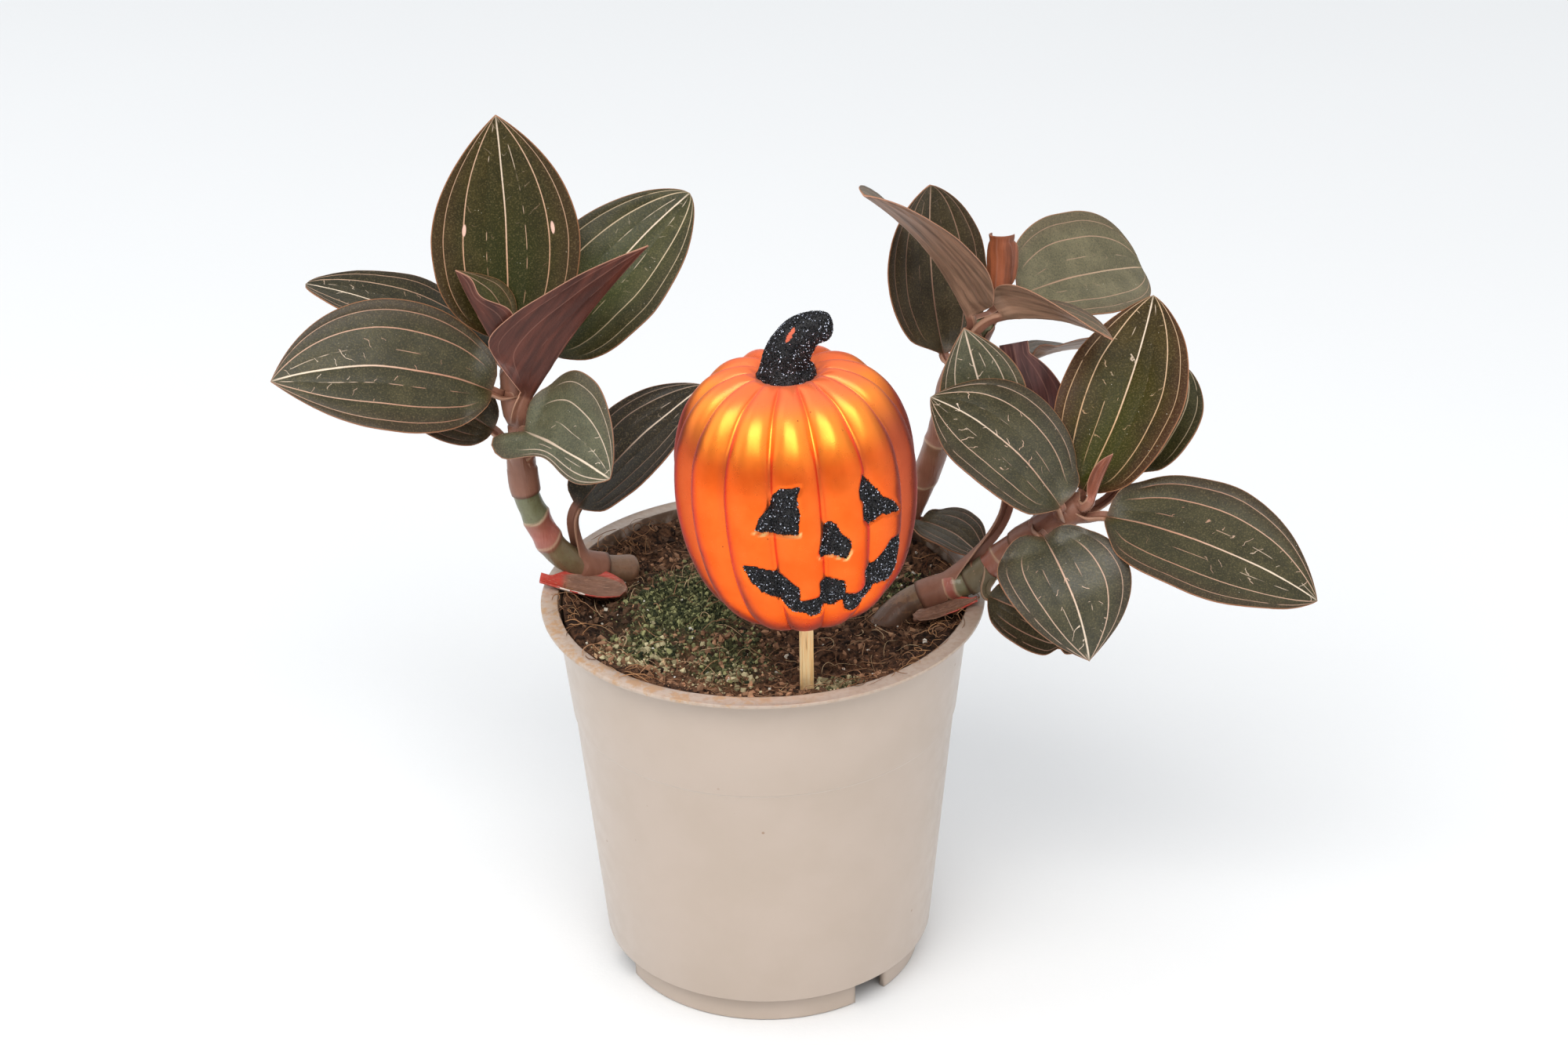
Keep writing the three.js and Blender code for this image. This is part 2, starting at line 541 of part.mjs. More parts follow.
function stalkRings(leaf) {
  const curve = stemCurve(leaf.stem);
  const axis = curve.getPointAt(leaf.at);
  const rise = curve.getTangentAt(leaf.at);
  const { centre: base, tangent, normal } = bladeFrame(leaf, 0);
  const out = base.clone().sub(axis);
  out.addScaledVector(rise, -out.dot(rise)).normalize();
  const root = axis.clone().addScaledVector(out, stemRadius(leaf.stem, leaf.at) + GAP);
  const direct = base.clone().sub(root);
  const reach = direct.length() * STALK.handle;
  direct.normalize();
  // the stalk sets off as the mirror image of the way it arrives, so that it bends evenly
  const start = direct.clone().multiplyScalar(2 * direct.dot(tangent)).sub(tangent);
  start.addScaledVector(out, 0.6).addScaledVector(rise, 0.3).normalize();
  const path = new THREE.CubicBezierCurve3(
    root,
    root.clone().addScaledVector(start, reach),
    base.clone().addScaledVector(tangent, -reach),
    base,
  );
  const rings = [];
  for (let k = 0; k < STALK.steps; k++) {
    const u = k / STALK.steps;
    const way = path.getTangent(u);
    const inward = rise.clone().multiplyScalar(way.dot(out)).addScaledVector(out, -way.dot(rise));
    const up = inward.normalize().lerp(normal, mix(STALK.turned, 1, smooth(u)));
    up.addScaledVector(way, -up.dot(way)).normalize();
    const frame = { centre: path.getPoint(u), tangent: way, normal: up };
    const halfWidth = mix(STALK.rootHalfWidth, leaf.stalk ?? STALK.halfWidth, smooth(u * 1.5));
    const fold = toRad(STALK.channel);
    rings.push(ringAt(frame, [halfWidth, halfWidth], [fold, fold], 0, STALK.depth));
  }
  return rings;
}

function bladeRings(leaf, sections) {
  return sections.map((t) => {
    const opened = smooth(t / 0.12);
    const folds = [leaf.left, leaf.right].map(([base, tip], half) => {
      const fold = mix(base, tip, t) + (leaf.dip?.[half] ?? 0) * 4 * t * (1 - t);
      return toRad(mix(STALK.channel, fold, opened));
    });
    const keel = mix(BLADE.keel, 0.15, smooth(t * 1.6));
    const sweeps = (leaf.lobe ?? BLADE.lobe).map((lobe) => lobe * (1 - t) ** 2);
    return ringAt(bladeFrame(leaf, t), halfWidthsAt(leaf, t), folds, toRad(leaf.cup ?? 8), keel, sweeps);
  });
}

function buildLeaves() {
  for (const leaf of LEAVES) {
    const rings = [...stalkRings(leaf), ...bladeRings(leaf, BLADE.sections)];
    const cut = solid(loft(rings)).subtract(stemCutters[leaf.stem]);
    addMesh(leaf.name, geometryOf(largest(cut)), leaf.young ? LOOKS.youngLeaf : LOOKS.leaf);
  }
  for (const sheath of SHEATHS) {
    const cut = solid(loft(bladeRings(sheath, SHEATH_SECTIONS))).subtract(stemCutters[sheath.stem]);
    addMesh(sheath.name, geometryOf(largest(cut)), LOOKS.sheath);
  }
}

// ---------------------------------------------------------------- soil
function soilHeight(x, y) {
  const { level, mound } = SOIL;
  const away = (x - mound.x) ** 2 + (y - mound.y) ** 2;
  const lumps = 0.5 * Math.sin(x / 5.1 + 1) * Math.cos(y / 6.3) + 0.35 * Math.sin((x + y) / 3.7);
  return level + mound.height * Math.exp(-away / (2 * mound.spread ** 2)) + lumps;
}

function soilGeometry() {
  const inside = (z) => wallRadius(z) - POT.wall - GAP;
  const ring = (radius, heightAt) =>
    Array.from({ length: SOIL.segments }, (_, i) => {
      const angle = (2 * Math.PI * i) / SOIL.segments;
      const [x, y] = [radius * Math.cos(angle), radius * Math.sin(angle)];
      return new THREE.Vector3(x, y, heightAt(x, y));
    });
  const floor = POT.shoulderHeight + 0.4 + GAP;
  const edge = POT.stepHeight - 2;
  const rows = [
    ring(inside(floor) - 0.4, () => floor),
    ring(inside(edge), () => edge),
    ring(inside(SOIL.level) - 0.3, soilHeight),
    ...SOIL.rings.map((radius) => ring(radius, soilHeight)),
  ];
  const [bottom, top] = [new THREE.Vector3(0, 0, floor), new THREE.Vector3(0, 0, soilHeight(0, 0))];
  return shell(rows, bottom, top);
}

function stickGeometry(extra = 0) {
  const { side, bottom, top } = STICK;
  const stick = new THREE.BoxGeometry(side + 2 * extra, side + 2 * extra, top - bottom + 2 * extra);
  stick.translate(STICK.x, STICK.y, (top + bottom) / 2);
  return stick;
}

function buildSoil() {
  let soil = solid(soilGeometry()).subtract(solid(stickGeometry(GAP)));
  for (const cutter of Object.values(stemCutters)) soil = soil.subtract(cutter);
  addMesh("soil", geometryOf(largest(soil)), LOOKS.soil);
}

// ---------------------------------------------------------------- pumpkin pick
function ribFactor(angle) {
  const { ribs, grooveAngle, grooveDepth } = PUMPKIN;
  const swell = Math.abs(Math.sin((ribs / 2) * (angle - toRad(grooveAngle))));
  return 1 - grooveDepth * (1 - swell ** 0.7);
}

// Rows of points of the ribbed body, grown by `extra`, in the pumpkin's own frame.
function pumpkinGeometry(extra = 0) {
  const { profile, ribs, segmentsPerRib, grooveAngle } = PUMPKIN;
  const count = ribs * segmentsPerRib;
  const rows = profile.slice(1, -1).map(([radius, height]) =>
    Array.from({ length: count }, (_, i) => {
      const angle = toRad(grooveAngle) + (2 * Math.PI * i) / count;
      const ribbed = radius * ribFactor(angle) + extra;
      return new THREE.Vector3(ribbed * Math.sin(angle), -ribbed * Math.cos(angle), height);
    }),
  );
  const [low, high] = [profile[0][1], profile[profile.length - 1][1]];
  return shell(rows, new THREE.Vector3(0, 0, low), new THREE.Vector3(0, 0, high));
}

// Block over an outline of the face, from inside the pumpkin to outside it.
function faceBlock(outline) {
  const flat = outline.map(([angle, height]) => new THREE.Vector2(toRad(angle) * 30, height));
  const layer = (radius) =>
    outline.map(([angle, height]) => {
      const turn = toRad(angle);
      return new THREE.Vector3(radius * Math.sin(turn), -radius * Math.cos(turn), height);
    });
  const count = outline.length;
  const triangles = THREE.ShapeUtils.triangulateShape(flat, []).flatMap(([a, b, c]) => [
    [a, c, b],
    [a + count, b + count, c + count],
  ]);
  const turned = THREE.ShapeUtils.isClockWise(flat);
  for (let i = 0; i < count; i++) {
    const [a, b] = turned ? [(i + 1) % count, i] : [i, (i + 1) % count];
    triangles.push([a, b, b + count], [a, b + count, a + count]);
  }
  return closedGeometry([...layer(15), ...layer(48)], triangles);
}

function buildPumpkin() {
  addMesh("pick_stick", stickGeometry(), LOOKS.wood);
  const group = new THREE.Group();
  group.position.set(PUMPKIN.x, PUMPKIN.y, PUMPKIN.bottom);
  group.rotation.y = toRad(PUMPKIN.lean);
  group.updateMatrix();
  part.add(group);
  const hole = stickGeometry(GAP * 2).applyMatrix4(group.matrix.clone().invert());
  addMesh("pumpkin_body", geometryOf(solid(pumpkinGeometry()).subtract(solid(hole))), LOOKS.pumpkin, group);
  const line = PUMPKIN_STEM.route.map(([x, z]) => new THREE.Vector3(x, 0, z));
  addMesh("pumpkin_stem", tube(line, PUMPKIN_STEM.radii, PUMPKIN_STEM.sides), LOOKS.glitter, group);
  const skin = solid(pumpkinGeometry(FACE.height)).subtract(solid(pumpkinGeometry(GAP)));
  for (const [name, outline] of Object.entries(FACE.outlines)) {
    const piece = largest(skin.intersect(solid(faceBlock(outline))));
    addMesh(name, geometryOf(piece), LOOKS.glitter, group);
  }
}

buildPot();
buildStems();
buildLeaves();
buildSoil();
buildPumpkin();

export default part;
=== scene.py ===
"""Looks of the potted jewel orchid with its pumpkin pick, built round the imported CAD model.

Lengths are in millimetres in the shapes' own numbers and become metres when a mesh is made.
Colours are 0-255 screen values.
"""
import math
from functools import reduce
from operator import or_

import bpy
import numpy as np
from mathutils import Matrix, Vector


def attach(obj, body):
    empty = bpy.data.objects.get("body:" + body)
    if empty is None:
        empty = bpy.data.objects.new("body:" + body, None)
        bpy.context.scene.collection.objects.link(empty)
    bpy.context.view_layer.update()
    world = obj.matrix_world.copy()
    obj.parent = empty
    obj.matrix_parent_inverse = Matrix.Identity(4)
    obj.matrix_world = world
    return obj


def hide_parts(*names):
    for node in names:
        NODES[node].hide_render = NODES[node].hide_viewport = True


MM = 0.001
BODY = "root"
GENERATOR_SEED = 7

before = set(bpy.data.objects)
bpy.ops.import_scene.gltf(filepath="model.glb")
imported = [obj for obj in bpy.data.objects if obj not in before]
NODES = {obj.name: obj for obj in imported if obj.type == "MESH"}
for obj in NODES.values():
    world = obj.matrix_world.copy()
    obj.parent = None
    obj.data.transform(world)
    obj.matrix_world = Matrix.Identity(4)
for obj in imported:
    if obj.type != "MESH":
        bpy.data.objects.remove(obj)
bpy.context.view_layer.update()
random = np.random.default_rng(GENERATOR_SEED)

# ---------------------------------------------------------------- camera
CAMERA = {"place": (0, -780.6, 539.6), "yaw": 0.444, "pitch": 27.58, "roll": -0.925, "lens": 75.6,
          "sensor": 36, "clip": (0.05, 50)}


def add_camera():
    yaw, pitch, roll = (math.radians(CAMERA[turn]) for turn in ("yaw", "pitch", "roll"))
    ahead = Vector((math.sin(yaw) * math.cos(pitch), math.cos(yaw) * math.cos(pitch), -math.sin(pitch)))
    level = Vector((math.cos(yaw), -math.sin(yaw), 0))
    above = level.cross(ahead)
    right = level * math.cos(roll) + above * math.sin(roll)
    up = above * math.cos(roll) - level * math.sin(roll)
    data = bpy.data.cameras.new("camera")
    data.lens, data.sensor_width = CAMERA["lens"], CAMERA["sensor"]
    data.clip_start, data.clip_end = CAMERA["clip"]
    camera = bpy.data.objects.new("camera", data)
    camera.matrix_world = Matrix((right, up, -ahead)).transposed().to_4x4()
    camera.location = Vector(CAMERA["place"]) * MM
    bpy.context.collection.objects.link(camera)
    bpy.context.scene.camera = camera


add_camera()


# ---------------------------------------------------------------- numbers
def smooth(x):
    x = np.clip(x, 0, 1)
    return x * x * (3 - 2 * x)


def mix(a, b, share):
    return a + (b - a) * share


def unit(v):
    return v / np.linalg.norm(v, axis=-1, keepdims=True)


def circle(count):
    """Angles at even steps right round."""
    return np.arange(count) * 2 * np.pi / count


def flat_points(x, y, z=0.0):
    return np.stack(np.broadcast_arrays(x, y, z), axis=-1)


def lattice_noise(points, size, seed=0):
    """Smooth noise from -1 to 1, for an array of points, with lumps about `size` wide."""
    grid = np.asarray(points, float) / size + 1000.5
    cell = np.floor(grid).astype(np.int64)
    part = smooth(grid - cell)

    def corner(dx, dy, dz):
        """A hash of one corner of each point's cell."""
        key = (cell[..., 0] + dx) * 73856093 ^ (cell[..., 1] + dy) * 19349663
        key = (key ^ (cell[..., 2] + dz) * 83492791 ^ seed * 2654435761) & 0xFFFFFFFF
        key = ((key ^ (key >> 15)) * 2246822519) & 0xFFFFFFFF
        key = ((key ^ (key >> 13)) * 3266489917) & 0xFFFFFFFF
        return ((key ^ (key >> 16)) & 0xFFFF) / 32767.5 - 1

    x, y, z = part[..., 0], part[..., 1], part[..., 2]
    low, high = (
        mix(mix(corner(0, 0, dz), corner(1, 0, dz), x), mix(corner(0, 1, dz), corner(1, 1, dz), x), y)
        for dz in (0, 1)
    )
    return mix(low, high, z)


def rough_noise(points, size, octaves=3, seed=0):
    return sum(lattice_noise(points, size / 2 ** k, seed + k) / 2 ** k for k in range(octaves))


def linear(red, green, blue):
    """Linear colour from screen values."""
    parts = [channel / 255 for channel in (red, green, blue)]
    return tuple(c / 12.92 if c <= 0.04045 else ((c + 0.055) / 1.055) ** 2.4 for c in parts) + (1.0,)


def scaled(colour, factor):
    """Linear colour from screen values, made darker or lighter."""
    return (*(min(1, factor * part) for part in linear(*colour)[:3]), 1.0)


# ---------------------------------------------------------------- materials
class Value:
    """The output of a node; arithmetic on it adds the nodes that work it out."""

    def __init__(self, look, socket):
        self.look, self.socket = look, socket

    def __add__(self, other):
        return self.look.math("ADD", self, other)

    def __sub__(self, other):
        return self.look.math("SUBTRACT", self, other)

    def __rsub__(self, other):
        return self.look.math("SUBTRACT", other, self)

    def __mul__(self, other):
        return self.look.math("MULTIPLY", self, other)

    def __truediv__(self, other):
        return self.look.math("DIVIDE", self, other)

    def __abs__(self):
        return self.look.math("ABSOLUTE", self)

    def __or__(self, other):
        """The larger of two masks."""
        return self.look.math("MAXIMUM", self, other)


class Look:
    """A material under construction: short calls that add and link its nodes."""

    def __init__(self, name, **sockets):
        self.material = bpy.data.materials.new(name)
        self.material.use_nodes = True
        self.nodes, self.links = self.material.node_tree.nodes, self.material.node_tree.links
        self.shader = self.nodes["Principled BSDF"]
        self.set(**sockets)
        self.place = self.vector("SCALE", self.add("TexCoord", "Object"), None, None, 1 / MM)  # millimetres

    def feed(self, socket, value):
        """Link a node's output to a socket, or set the socket to a number, vector or colour."""
        if isinstance(value, Value):
            self.links.new(value.socket, socket)
        elif socket.type == "RGBA" and len(value) == 3:
            socket.default_value = linear(*value)
        elif value is not None:
            socket.default_value = value

    def set(self, **sockets):
        for socket, value in sockets.items():
            self.feed(self.shader.inputs[socket.replace("_", " ")], value)

    def add(self, kind, output, inputs=(), **settings):
        """One output of a new node, whose inputs come in order or in a dict."""
        node = self.nodes.new("ShaderNode" + kind)
        for key, value in settings.items():
            setattr(node, key, value)
        for key, value in inputs.items() if isinstance(inputs, dict) else enumerate(inputs):
            self.feed(node.inputs[key], value)
        return Value(self, node.outputs[output])

    def math(self, operation, *values):
        return self.add("Math", 0, values, operation=operation)

    def vector(self, operation, *values, output="Vector"):
        return self.add("VectorMath", output, values, operation=operation)

    def noise(self, size, detail=2.0, rough=0.5, place=None, stretch=None):
        place = place or self.place
        if stretch:
            place = self.vector("MULTIPLY", place, stretch)
        inputs = {"Vector": place, "Scale": 1 / size, "Detail": detail, "Roughness": rough}
        return self.add("TexNoise", "Fac", inputs)

    def cells(self, size):
        """Distance from the nearest of many scattered spots."""
        return self.add("TexVoronoi", "Distance", {"Vector": self.place, "Scale": 1 / size})

    def span(self, value, low, high, to_low=0.0, to_high=1.0, curve="SMOOTHSTEP"):
        return self.add("MapRange", 0, (value, low, high, to_low, to_high), interpolation_type=curve)

    def blend(self, share, first, second, kind="MIX"):
        return self.add("Mix", 2, {0: share, 6: first, 7: second}, data_type="RGBA", blend_type=kind)

    def attribute(self, name, output="Fac"):
        return self.add("Attribute", output, attribute_name=name)

    def parts(self, vector):
        node = self.add("SeparateXYZ", 0, (vector,)).socket.node
        return [Value(self, socket) for socket in node.outputs]

    def join(self, *values):
        return self.add("CombineXYZ", 0, values)

    def bump(self, height, depth):
        """Relief of `depth` mm where the height goes from 0 to 1."""
        self.set(Normal=self.add("Bump", "Normal", {"Distance": depth * MM, "Height": height}))


# ---------------------------------------------------------------- meshes
END_BULGE = 0.15  # how far a tube's end stands out, as a share of its radius


def quads(rows, columns, closed=False):
    """Quads over a grid of points listed row by row."""
    wide = columns if closed else columns - 1
    r, c = np.meshgrid(np.arange(rows - 1), np.arange(wide), indexing="ij")
    a, b = r * columns + c, r * columns + (c + 1) % columns
    return np.stack((a, b, b + columns, a + columns), axis=-1).reshape(-1, 4)


def fan(ring, centre):
    return np.stack((ring, np.roll(ring, -1), np.full(len(ring), centre)), axis=-1)


def triangles(faces):
    return faces if faces.shape[1] == 3 else np.vstack((faces[:, :3], faces[:, [0, 2, 3]]))


def outward(points, faces):
    """The same faces, turned so that the closed shape's volume is positive."""
    volume = 0.0
    for group in faces:
        for k in range(1, group.shape[1] - 1):
            a, b, c = (points[group[:, i]] for i in (0, k, k + 1))
            volume += float(np.einsum("ij,ij->i", a, np.cross(b, c)).sum())
    return faces if volume > 0 else [group[:, ::-1] for group in faces]


def capped(points, sides, ends):
    """Closed shape from points in rings and the middles of its two ends."""
    count, ring = len(points), np.arange(sides)
    faces = [quads(count // sides, sides, closed=True), fan(ring, count)[:, ::-1]]
    faces.append(fan(ring + count - sides, count + 1))
    points = np.vstack((points, ends))
    return points, outward(points, faces)


def add_piece(name, points, faces, material, values, replaces=(), smoothed=True):
    """A piece of the part from points in millimetres and arrays of faces, with values at its points."""
    mesh = bpy.data.meshes.new(name)
    lists = [face for group in faces for face in group.tolist()]
    mesh.from_pydata((np.asarray(points) * MM).tolist(), [], lists)
    for key, array in values.items():
        array = np.asarray(array, np.float32)
        kind, field = ("FLOAT_VECTOR", "vector") if array.ndim == 2 else ("FLOAT", "value")
        mesh.attributes.new(key, kind, "POINT").data.foreach_set(field, array.ravel())
    mesh.polygons.foreach_set("use_smooth", [smoothed] * len(mesh.polygons))
    mesh.materials.append(material)
    mesh.update()
    piece = bpy.data.objects.new(name + "_fine" if name in NODES else name, mesh)
    bpy.context.collection.objects.link(piece)
    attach(piece, BODY)
    if replaces:
        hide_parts(*replaces)
    return piece


def spline(route, count):
    """Points at even steps along the centripetal curve through a route, as the CAD draws it."""
    route = np.asarray(route, float)
    padded = np.vstack((2 * route[0] - route[1], route, 2 * route[-1] - route[-2]))
    pieces = []
    for p0, p1, p2, p3 in zip(padded, padded[1:], padded[2:], padded[3:]):
        d0, d1, d2 = (np.linalg.norm(q - p) ** 0.5 for p, q in ((p0, p1), (p1, p2), (p2, p3)))
        m1 = ((p1 - p0) / d0 - (p2 - p0) / (d0 + d1) + (p2 - p1) / d1) * d1
        m2 = ((p2 - p1) / d1 - (p3 - p1) / (d1 + d2) + (p3 - p2) / d2) * d1
        t = np.linspace(0, 1, 41)[:-1, None]
        pieces.append(
            (2 * t ** 3 - 3 * t ** 2 + 1) * p1 + (t ** 3 - 2 * t ** 2 + t) * m1
            + (3 * t ** 2 - 2 * t ** 3) * p2 + (t ** 3 - t ** 2) * m2
        )
    line = np.vstack(pieces + [route[-1:]])
    length = np.r_[0, np.cumsum(np.linalg.norm(np.diff(line, axis=0), axis=1))]
    at = np.linspace(0, length[-1], count)
    return np.stack([np.interp(at, length, line[:, k]) for k in range(3)], axis=-1)


def tube(line, radii, sides, first_up=(0.0, -1.0, 0.0)):
    """Closed tube without twist; `radii` is one number a point, or one for each point and side."""
    tangents = unit(np.gradient(line, axis=0))
    up, ups = np.array(first_up), []
    for tangent in tangents:
        up = unit(up - up.dot(tangent) * tangent)
        ups.append(up)
    ups = np.array(ups)
    acrosses, angles = np.cross(tangents, ups), circle(sides)[:, None]
    radii = np.broadcast_to(np.asarray(radii, float).reshape(len(line), -1), (len(line), sides))
    around = ups[:, None] * np.cos(angles) + acrosses[:, None] * np.sin(angles)
    points = (line[:, None] + around * radii[..., None]).reshape(-1, 3)
    first = line[0] - tangents[0] * END_BULGE * radii[0].mean()
    last = line[-1] + tangents[-1] * END_BULGE * radii[-1].mean()
    return capped(points, sides, (first, last))


def merged(shapes):
    """One set of points and faces from several (points, faces)."""
    points, groups, start = [], {}, 0
    for own_points, own_faces in shapes:
        points.append(own_points)
        for group in own_faces:
            groups.setdefault(group.shape[1], []).append(group + start)
        start += len(own_points)
    return np.vstack(points), [np.vstack(group) for group in groups.values()]


OCTAHEDRON = (
    np.array(((1, 0, 0), (0, 1, 0), (-1, 0, 0), (0, -1, 0), (0, 0, 1), (0, 0, -1)), float),
    np.array(((0, 1, 4), (1, 2, 4), (2, 3, 4), (3, 0, 4), (1, 0, 5), (2, 1, 5), (3, 2, 5), (0, 3, 5))),
)


def ball(rings=3, sides=4):
    """Closed low sphere of radius 1."""
    around = circle(sides)
    rows = [
        flat_points(np.sin(a) * np.cos(around), np.sin(a) * np.sin(around), np.cos(a))
        for a in np.linspace(0, np.pi, rings + 1)[1:-1]
    ]
    points = np.vstack(rows + [[(0, 0, 1), (0, 0, -1)]])
    count, ring = len(points), np.arange(sides)
    faces = [triangles(quads(len(rows), sides, closed=True)), fan(ring, count - 2)[:, ::-1]]
    faces.append(fan(ring + sides * (len(rows) - 1), count - 1))
    return points, np.vstack(outward(points, faces))


def random_turns(count):
    """Random rotation matrices."""
    w, x, y, z = unit(random.normal(size=(count, 4))).T
    return np.stack((
        1 - 2 * (y * y + z * z), 2 * (x * y - z * w), 2 * (x * z + y * w),
        2 * (x * y + z * w), 1 - 2 * (x * x + z * z), 2 * (y * z - x * w),
        2 * (x * z - y * w), 2 * (y * z + x * w), 1 - 2 * (x * x + y * y),
    ), axis=-1).reshape(-1, 3, 3)


def scatter(shape, places, sizes, squash, jitter):
    """Copies of a small shape, each turned at random, as one set of points and faces."""
    corners, faces = shape
    count = len(places)
    local = corners[None] * np.asarray(squash)
    local = local * (1 + jitter * random.uniform(-1, 1, (count, len(corners), 1)))
    turned = np.einsum("nij,nkj->nki", random_turns(count), local) * np.asarray(sizes)[:, None, None]
    copies = faces[None] + (np.arange(count) * len(corners))[:, None, None]
    return (turned + places[:, None]).reshape(-1, 3), [copies.reshape(-1, faces.shape[1])]


# ---------------------------------------------------------------- plant: dimensions
# Routes, radii and leaf rows are those of the CAD model, apart from the shape of the old sheaths
# and of the rolled leaf.
STEMS = {
    # bands hold (fraction of the length, 0 for bare green stem, 1 for a sheath, 2 for its red foot),
    # and edges the fractions where a sheath ends
    "stem_left": {
        "route": [
            (-34.5, 19.5, 107.6), (-42.4, 17, 109.8), (-49.5, 13.8, 113), (-55.4, 11.5, 118.4),
            (-59.8, 10.5, 127), (-63, 9.5, 137.2), (-63.8, 9, 146.5), (-63, 8.5, 157), (-64, 8.5, 166),
            (-64.6, 9, 175),
        ],
        "radii": (3.9, 3.1),
        "bands": [
            (0, 0.7), (0.2, 0.55), (0.28, 0.25), (0.34, 0.35), (0.36, 1.6), (0.4, 2), (0.455, 1.4),
            (0.462, 0), (0.57, 0), (0.578, 1), (1, 1),
        ],
        "edges": [0, 0.36, 0.46, 0.575, 0.7, 0.88],
    },
    "stem_back": {
        "route": [
            (33, 34, 92), (35.5, 34, 104), (42, 31.5, 121), (46, 29.5, 132), (49, 28, 142),
            (50.4, 27.5, 149.5), (52.5, 26, 159.6), (56.5, 24, 169.7), (60.4, 22, 179.7),
        ],
        "radii": (3.9, 3),
        "bands": [
            (0, 0), (0.25, 0), (0.26, 1), (0.5, 1), (0.56, 0.8), (0.57, 1), (0.92, 1), (0.95, 0.2), (1, 0),
        ],
        "edges": [0.26, 0.42, 0.57, 0.78, 0.93],
    },
    "stem_right": {
        "route": [
            (27, -5, 97), (33, -5.5, 103.5), (38, -4, 107.8), (44, -3.8, 111.2), (50, -4.3, 113.6),
            (55.2, -4.5, 115.4), (61, -5, 120), (65.6, -5.5, 125), (74.5, -8.9, 133), (80.5, -9.8, 138),
            (84.5, -9.6, 140.6),
        ],
        "radii": (3.9, 3),
        "bands": [
            (0, 0.8), (0.2, 0.7), (0.385, 0.35), (0.39, 2), (0.42, 1.8), (0.425, 0.15), (0.52, 0.15),
            (0.525, 1.5), (0.62, 1.2), (0.63, 1), (0.74, 1), (0.78, 0.6), (0.8, 1), (1, 1),
        ],
        "edges": [0.39, 0.425, 0.525, 0.63, 0.8],
    },
}


def row(stem, at, base, tip, face, width, bow, fold, **more):
    """One leaf. `fold` holds how far the left and right halves fold up, at the base and the tip."""
    left, right = (fold[:2], fold[2:]) if len(fold) == 4 else (fold, fold)
    leaf = {"stem": "stem_" + stem, "at": at, "base": base, "tip": tip, "face": face, "width": width}
    return {**leaf, "bow": bow, "left": left, "right": right, **more}


